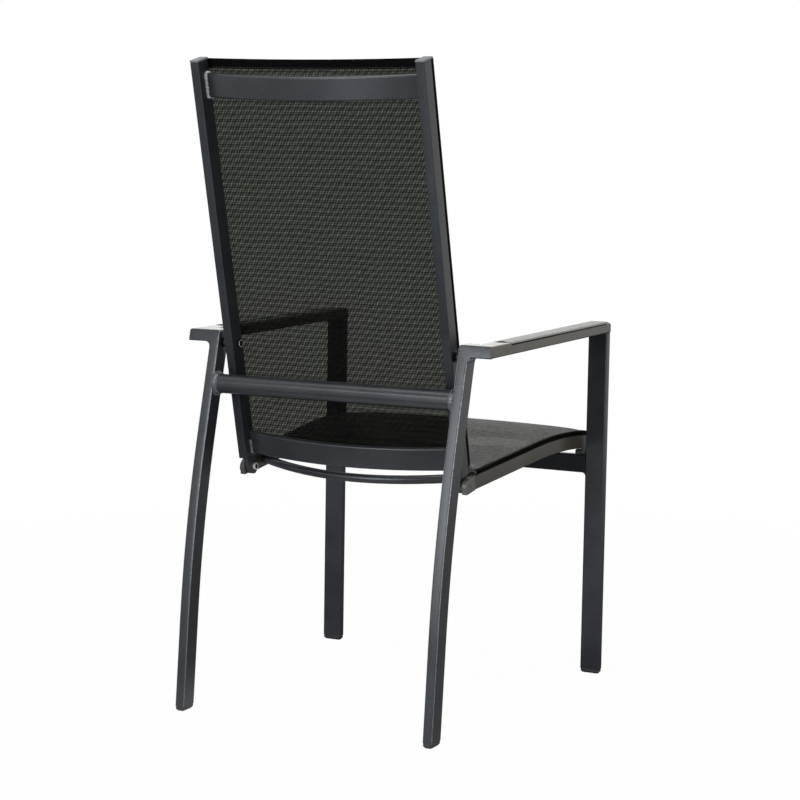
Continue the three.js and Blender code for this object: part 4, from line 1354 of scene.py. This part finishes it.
@dataclass
class Seat:
    """The seat frame's sling, hems and details, laid out about the seat pivot."""

    body: str = "seat"
    pivot: Vector = field(default_factory=lambda: Vector((0.0, 0.139274, 0.394407)))
    rear: float = 18 * MM
    above: float = 6.6 * MM
    rake: float = math.radians(5.2)
    straight: float = 221.96 * MM
    crest_radius: float = 900 * MM
    crest_turn: float = math.radians(11)
    front_radius: float = 62 * MM
    front_turn: float = math.radians(38)
    rear_middle: float = 208.8 * MM
    splay: float = 0.065316
    rear_inset: float = 4 * MM
    free_from_rail: float = 1.5 * MM
    hollow: float = 0.3 * MM
    hollow_reach_share: float = 1.06
    crown: float = 6.0 * MM
    crown_power: float = 0.6
    crown_start: float = 0.35
    crown_full: float = 0.75
    columns: int = 120
    rows: int = 72
    hem: float = 15 * MM
    hem_narrower: float = 26 * MM
    row_narrower: float = 4 * MM
    knuckle_radius: float = 12.0 * MM
    knuckle_width: float = 8.6 * MM
    knuckle_behind: float = 5.0 * MM
    knuckle_below: float = 1.0 * MM
    knuckle_inset: float = 0.3 * MM
    knuckle_edge: float = 1.2 * MM
    bolt_rim: float = 2.2 * MM
    section: RailSection = field(default_factory=RailSection)

    def length(self) -> float:
        """Length of the rail's middle line."""
        return self.straight + self.crest_radius * self.crest_turn + self.front_radius * self.front_turn

    def station(self, s: float) -> tuple[float, float, float]:
        """Place on the rail's middle line.

        Args:
            s: Distance from the rear end.

        Returns:
            Y and Z about the pivot, and the rise of the line there.
        """
        y, z, rise = -self.rear, self.above, self.rake
        leg = min(s, self.straight)
        y -= math.cos(rise) * leg
        z += math.sin(rise) * leg
        s -= leg
        for radius, turn in ((self.crest_radius, self.crest_turn), (self.front_radius, self.front_turn)):
            leg = min(max(s, 0.0), radius * turn)
            end = rise - leg / radius
            y -= radius * (math.sin(rise) - math.sin(end))
            z += radius * (math.cos(end) - math.cos(rise))
            rise = end
            s -= leg
        return y - math.cos(rise) * max(s, 0.0), z + math.sin(rise) * max(s, 0.0), rise

    def middle(self, y: float) -> float:
        """Distance of a rail's middle from the chair's middle."""
        return self.rear_middle - (y + self.rear) * self.splay

    def half_cloth(self, s: float) -> float:
        """Half of the cloth's width at a distance from the rails' rear end."""
        return line_length(self.section.course(self.middle(self.station(s)[0])))

    def sling_point(self, u: float, s: float, lift: float = 0.0) -> Vector:
        """Point on the sling.

        Args:
            u: Distance from the middle along the cloth, as at the widest course.
            s: Distance from the rails' rear end.
            lift: How far it stands off upwards.

        Returns:
            The point in the chair's frame.
        """
        y, z, rise = self.station(s)
        middle = self.middle(y)
        course = self.section.course(middle)
        x, v = walk(course, line_length(course) * (1 - abs(u) / self.half_cloth(self.length())))
        inner = middle - self.section.width / 2 - self.free_from_rail
        sag = 0.0
        if x < inner:
            bulge = 1 - (x / inner) ** 2
            share = s / self.length()
            wave = math.sin(math.pi * min(share * self.hollow_reach_share, 1.0))
            sag = self.hollow * bulge * max(0.0, wave) ** 0.5
            near = min(max((share - self.crown_start) / (self.crown_full - self.crown_start), 0.0), 1.0)
            sag -= self.crown * bulge ** self.crown_power * near * near * (3 - 2 * near)
        v += lift - sag
        return self.pivot + Vector((math.copysign(x, u), y + math.sin(rise) * v, z + math.cos(rise) * v))

    def build(self) -> None:
        """Makes every piece of the seat."""
        self.sling()
        Workshop.dress_pairs({
            "seat_rail": SEAT_RAIL_COAT, "seat_lug": LUG_COAT, "seat_rail_cap": LUG_COAT,
            "seat_spline": PLASTIC, "seat_pivot_bolt": STEEL, "seat_pivot_washer": STEEL,
        })
        for side in Side:
            self.knuckle(side)
            BoltFace(f"seat_pivot_bolt_{side.label}", self.body, side, rim=self.bolt_rim).build()
        Workshop.dress("seat_rear_bar", COAT)
        Workshop.dress("seat_front_bar", COAT)

    def knuckle(self, side: Side) -> None:
        """Round moulded knuckle over the rear end of a seat lug.

        Args:
            side: Which side.
        """
        low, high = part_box(f"seat_lug_{side.label}")
        outer = max(abs(low.x), abs(high.x))
        disc = bmesh.new()
        bmesh.ops.create_cone(
            disc, cap_ends=True, segments=40, radius1=self.knuckle_radius, radius2=self.knuckle_radius,
            depth=self.knuckle_width,
            matrix=Matrix.Translation((
                side.value * (outer - self.knuckle_width / 2 - self.knuckle_inset),
                self.pivot.y + self.knuckle_behind, self.pivot.z - self.knuckle_below,
            )) @ Matrix.Rotation(math.radians(90), 4, "Y"),
        )
        bmesh.ops.bevel(
            disc, geom=[edge for edge in disc.edges if edge.calc_face_angle() > 1.0],
            offset=self.knuckle_edge, segments=3, profile=0.5, affect="EDGES", material=-1)
        bmesh.ops.recalc_face_normals(disc, faces=disc.faces[:])
        Workshop.piece(disc, f"seat_knuckle_{side.label}", LUG_COAT, self.body)

    def sling(self) -> None:
        """The woven seat with its hems."""
        end = self.length()
        half = self.half_cloth(end)
        narrow = self.half_cloth(self.rear_inset)
        cloth = Cloth(self.sling_point, self.body, half, self.rear_inset, end, self.hem)
        sling = cloth.sheet("seat_mesh", SEAT_MESH, self.columns, self.rows)
        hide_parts("seat_sling")
        inner = half - self.hem_narrower
        ends = {"rear": SheetEnd.LOW, "front": SheetEnd.HIGH}
        extras = cloth.edging("seat", ends, inner, inner - self.row_narrower, toward=1)


@dataclass
class BoltFace:
    """The pressed face of a hex bolt's head: a bright rim round a near-black plug, a painted dark reflection
    of the face, that stands a little proud.
    """

    node: str
    body: str
    side: Side
    across_corners: float = 13.4 * MM
    rim: float = 1.1 * MM
    rise: float = 0.5 * MM
    sunk_rise: float = 0.1 * MM
    plug_from: float = 0.35 * MM
    plug_thickness: float = 0.3 * MM
    rim_cover_share: float = 1.05

    def hexagon(self, radius: float, off: float) -> bmesh.types.BMesh:
        """A hexagonal face in front of the head.

        Args:
            radius: Distance of its corners from its middle.
            off: How far it stands off the head.

        Returns:
            The bmesh.
        """
        low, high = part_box(self.node)
        middle = (low + high) / 2
        face = min(abs(low.x), abs(high.x)) - off
        mesh = bmesh.new()
        bmesh.ops.create_circle(
            mesh, segments=6, radius=radius, cap_ends=True,
            matrix=Matrix.Translation((self.side.value * face, middle.y, middle.z))
            @ Matrix.Rotation(math.radians(90), 4, "Y") @ Matrix.Rotation(math.radians(30), 4, "Z"))
        return mesh

    def build(self) -> None:
        """Makes the rim and the plug inside it."""
        radius = self.across_corners / 2
        outward = Vector((-self.side.value, 0, 0))
        head = self.hexagon(radius, 0.0)
        outer = Workshop.push(head, head.faces[:], outward * self.rise)
        bmesh.ops.inset_region(head, faces=[outer], thickness=self.rim, depth=0.0)
        Workshop.push(head, [outer], outward * (self.sunk_rise - self.rise))
        bmesh.ops.recalc_face_normals(head, faces=head.faces[:])
        Workshop.piece(head, f"rim_{self.node}", STEEL, self.body)
        # The near-black plug is a painted dark reflection of the head's face.
        plug = self.hexagon(radius - self.rim * self.rim_cover_share, self.plug_from)
        Workshop.push(plug, plug.faces[:], outward * self.plug_thickness)
        bmesh.ops.recalc_face_normals(plug, faces=plug.faces[:])
        Workshop.piece(plug, f"recess_{self.node}", NEAR_BLACK, self.body)


@dataclass
class BaseFrame:
    """The welded base: legs, armrests and cross members."""

    body: str = "frame"
    tube_radius: float = 16.6 * MM
    leg_inner: float = 225 * MM
    bead_from_leg: float = 2.4 * MM
    bead_off_tube: float = 0.2 * MM
    bead_half_width: float = 5.2 * MM
    bead_half_height: float = 2.0 * MM
    bead_depth: float = 0.10
    bead_seed: int = 5
    nose: float = 14 * MM
    gap_height: float = 2.4 * MM
    gap_width: float = 1.4 * MM
    gap_inset: float = 0.3 * MM
    gap_rise: float = 0.9 * MM
    gap_edge: float = 0.3 * MM
    seal_half_width: float = 18.0 * MM
    seal_proud: float = 1.0 * MM
    seal_gap: float = 0.1 * MM
    seal_thickness: float = 1.1 * MM

    def build(self) -> None:
        """Dresses the base and adds its weld beads, painted shadow lines, end seals and bolt faces."""
        Workshop.dress_pairs({
            "front_leg": FRONT_COAT, "rear_leg": LEG_COAT, "arm_rail": WARM_COAT, "arm_slat": STRIP,
            "front_foot": PLASTIC, "rear_foot": PLASTIC, "back_pivot_bush": PLASTIC, "seat_glide": PLASTIC,
            "back_pivot_bolt": NEAR_BLACK, "back_pivot_insert": STEEL,
        })
        Workshop.dress("rear_cross_tube", COAT)
        Workshop.dress("front_cross_rail", PAINTED_SHADE_COAT)
        self.tube_welds()
        for side in Side:
            self.slat_gasket(side)
            self.slat_end_seal(side)
        for side in Side:
            BoltFace(f"back_pivot_bolt_{side.label}", self.body, side).build()

    def tube_welds(self) -> None:
        """Beads where the rear cross tube meets the legs."""
        low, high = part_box("rear_cross_tube")
        centre = (low + high) / 2
        outline = Bead.circle(self.tube_radius + self.bead_off_tube)
        for side in Side:
            x = side.value * (self.leg_inner - self.bead_from_leg)
            places = [Vector((x, centre.y + y, centre.z + z)) for y, z in outline]
            bead = Bead(
                self.bead_half_width, self.bead_half_height, self.bead_seed + (side is Side.LEFT),
                depth=self.bead_depth)
            name = f"weld_cross_tube_{side.label}"
            bead.lay(name, COLLAR_COAT, self.body, places, Vector((side.value, 0, 0)))

    def slat_gasket(self, side: Side) -> None:
        """Near-black strip along the outer edge of an armrest strip: painted shadow under the strip's edge.

        Args:
            side: Which side.
        """
        low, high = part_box(f"arm_slat_{side.label}")
        rail_low, rail_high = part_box(f"arm_rail_{side.label}")
        outer = max(abs(rail_low.x), abs(rail_high.x))
        front, rear = low.y + self.nose, high.y
        line = bmesh.new()
        bmesh.ops.create_cube(line, size=1.0, matrix=Matrix.Translation((
            side.value * (outer - self.gap_inset), (front + rear) / 2, low.z + self.gap_rise,
        )) @ Matrix.Diagonal((self.gap_width, rear - front, self.gap_height, 1.0)))
        bmesh.ops.bevel(
            line, geom=line.edges[:], offset=self.gap_edge, segments=2, profile=0.5, affect="EDGES",
            material=-1)
        Workshop.piece(line, f"slat_gasket_{side.label}", NEAR_BLACK, self.body)

    def slat_end_seal(self, side: Side) -> None:
        """Dark arched seal round the rear end of an armrest strip.

        Args:
            side: Which side.
        """
        low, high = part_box(f"arm_slat_{side.label}")
        middle = (abs(low.x) + abs(high.x)) / 2
        seal = bmesh.new()
        bmesh.ops.create_circle(
            seal, segments=48, radius=1.0, cap_ends=True,
            matrix=Matrix.Translation((side.value * middle, high.y + self.seal_gap, low.z))
            @ Matrix.Diagonal((self.seal_half_width, 1.0, high.z - low.z + self.seal_proud, 1.0))
            @ Matrix.Rotation(math.radians(90), 4, "X"),
        )
        bmesh.ops.bisect_plane(
            seal, geom=seal.verts[:] + seal.edges[:] + seal.faces[:], plane_co=(0, 0, low.z),
            plane_no=(0, 0, -1), clear_outer=True)
        Workshop.push(seal, seal.faces[:], Vector((0, self.seal_thickness, 0)))
        bmesh.ops.recalc_face_normals(seal, faces=seal.faces[:])
        Workshop.piece(seal, f"slat_end_seal_{side.label}", NEAR_BLACK, self.body)


# Studio


@dataclass(frozen=True)
class Lamp:
    """A large square soft lamp that the camera doesn't see: place and size in metres, power in watts."""

    name: str
    place: Triple
    power: float
    colour: Triple
    size: float
    target: Triple = (0.0, 0.0, 0.6)

    def build(self) -> None:
        """Adds the lamp and turns it to its target."""
        data = bpy.data.lights.new(self.name, "AREA")
        data.size = self.size
        data.energy = self.power
        data.color = self.colour
        lamp = bpy.data.objects.new(self.name, data)
        lamp.location = self.place
        lamp.visible_camera = False
        lamp.rotation_mode = "QUATERNION"
        way = Vector(self.target) - Vector(self.place)
        lamp.rotation_quaternion = way.to_track_quat("-Z", "Y")
        bpy.context.scene.collection.objects.link(lamp)


LAMPS = (
    Lamp("Overhead", (0.4, 0.9, 3.3), 52.0, (1.0, 0.99, 0.98), size=1.7, target=(0.0, 0.0, 0.5)),
    Lamp("Behind", (0.9, 3.7, 1.45), 74.0, (0.88, 0.94, 1.0), size=1.4),
    Lamp("Side", (-3.2, -0.6, 1.9), 20.0, (1.0, 0.84, 0.62), size=1.4),
    Lamp("Board", (0.27, 1.55, 0.34), 1.4, (0.85, 0.94, 1.0), size=0.40, target=(-0.09, 0.33, 1.0)),
    Lamp("Far", (2.1, -3.9, 1.6), 14.0, (1.0, 0.99, 0.97), size=1.6),
    Lamp("Edge", (-1.8, 1.0, 0.55), 14.0, (0.92, 0.96, 1.0), size=1.1),
)


@dataclass
class Studio:
    """Floor, light and camera.

    The camera's place is given from the chair's centre: away along the view, then aside and up in the
    picture. The floor shows the chair's shadow near it and is plain white further off, and metal mirrors
    it as white past mirror_reach and in a round glow behind the chair.
    """

    focal_pixels: float = 2321.4
    frame_pixels: int = 800
    sensor: float = 36
    clip: Band = (0.1, 60)
    azimuth: float = math.radians(207.821)
    elevation: float = math.radians(7.537)
    roll: float = math.radians(0.34)
    aside: float = 1.5 * MM
    up: float = 4.18 * MM
    away: float = 4028.3 * MM
    centre: Vector = field(default_factory=lambda: Vector((0.0, -19.238 * MM, 500 * MM)))
    floor_half: float = 14.0
    floor_grey: float = 0.36
    shadow_reach: Band = (0.9, 2.2)
    shadow_white: float = 0.985
    mirror_reach: Band = (1.3, 4.5)
    glow_place: tuple[float, float] = (0.12, 0.52)
    glow_size: float = 0.55
    glow_core_share: float = 0.4
    light_colour: Colour = rgb(0.92, 0.96, 1.0)
    light_strength: float = 0.2

    def build(self) -> None:
        """Makes the studio."""
        self.camera()
        self.floor()
        self.world()
        for lamp in LAMPS:
            lamp.build()
        bpy.context.scene.view_settings.view_transform = "Standard"
        LOG.info("studio ready, with %d lamps", len(LAMPS))

    def camera(self) -> None:
        """The camera at the photograph's viewing angle."""
        data = bpy.data.cameras.new("Camera")
        data.sensor_width = self.sensor
        data.lens = self.focal_pixels / self.frame_pixels * self.sensor
        data.clip_start, data.clip_end = self.clip
        camera = bpy.data.objects.new("Camera", data)
        bpy.context.scene.collection.objects.link(camera)
        back = Vector((
            math.sin(self.azimuth) * math.cos(self.elevation),
            -math.cos(self.azimuth) * math.cos(self.elevation),
            math.sin(self.elevation),
        ))
        right = (-back).cross(Vector((0, 0, 1))).normalized()
        top = right.cross(-back)
        place = self.centre + back * self.away + right * self.aside + top * self.up
        turned_right = right * math.cos(self.roll) + top * math.sin(self.roll)
        turned_top = top * math.cos(self.roll) - right * math.sin(self.roll)
        basis = Matrix((turned_right, turned_top, back)).transposed().to_4x4()
        camera.matrix_world = Matrix.Translation(place) @ basis
        bpy.context.scene.camera = camera

    def floor(self) -> None:
        """Pale floor that keeps the chair's shadow."""
        mesh = bmesh.new()
        bmesh.ops.create_grid(mesh, x_segments=1, y_segments=1, size=self.floor_half)
        data = bpy.data.meshes.new("floor")
        mesh.to_mesh(data)
        mesh.free()
        floor = bpy.data.objects.new("floor", data)
        bpy.context.scene.collection.objects.link(floor)
        material = bpy.data.materials.new("Pale floor")
        material.use_nodes = True
        graph = Graph(material.node_tree)
        path = graph.add("ShaderNodeLightPath")
        through = path.out("Is Camera Ray").most(path.out("Is Transmission Ray"))
        x, y, _ = graph.parts(graph.object_place())
        away = (x * x + y * y).root()
        aside = ((x - self.glow_place[0]) ** 2.0 + (y - self.glow_place[1]) ** 2.0).root()
        glow = aside.ramp(self.glow_size * self.glow_core_share, self.glow_size, 1.0, 0.0)
        shown = through * away.ramp(*self.shadow_reach, self.shadow_white, 1.0)
        mirrored = path.out("Is Glossy Ray") * away.ramp(*self.mirror_reach, 0.0, 1.0).most(glow)
        matt = graph.add("ShaderNodeBsdfDiffuse", {}, {"Color": grey(self.floor_grey)})
        white = graph.add("ShaderNodeEmission", {}, {"Color": grey(1.0), "Strength": 1.0})
        both = graph.add("ShaderNodeMixShader", {}, {0: shown.most(mirrored), 1: matt.out(), 2: white.out()})
        graph.add("ShaderNodeOutputMaterial", {}, {"Surface": both.out()})
        data.materials.append(material)

    def world(self) -> None:
        """Soft surroundings: white where they are seen or mirrored, grey as light."""
        world = bpy.data.worlds.new("Studio")
        world.use_nodes = True
        bpy.context.scene.world = world
        graph = Graph(world.node_tree)
        path = graph.add("ShaderNodeLightPath")
        seen = path.out("Is Camera Ray").most(path.out("Is Glossy Ray")).most(path.out("Is Transmission Ray"))
        light = graph.add(
            "ShaderNodeBackground", {}, {"Color": self.light_colour, "Strength": self.light_strength}
        )
        white = graph.add("ShaderNodeBackground", {}, {"Color": grey(1.0), "Strength": 1.0})
        both = graph.add("ShaderNodeMixShader", {}, {0: seen, 1: light.out(), 2: white.out()})
        graph.add("ShaderNodeOutputWorld", {}, {"Surface": both.out()})


def main() -> None:
    """Builds the studio and dresses the chair; each piece is reported as it is made."""
    logging.basicConfig(level=logging.INFO, format="%(name)s: %(message)s")
    Studio().build()
    BaseFrame().build()
    Backrest().build()
    Seat().build()


if __name__ == "__main__":
    main()
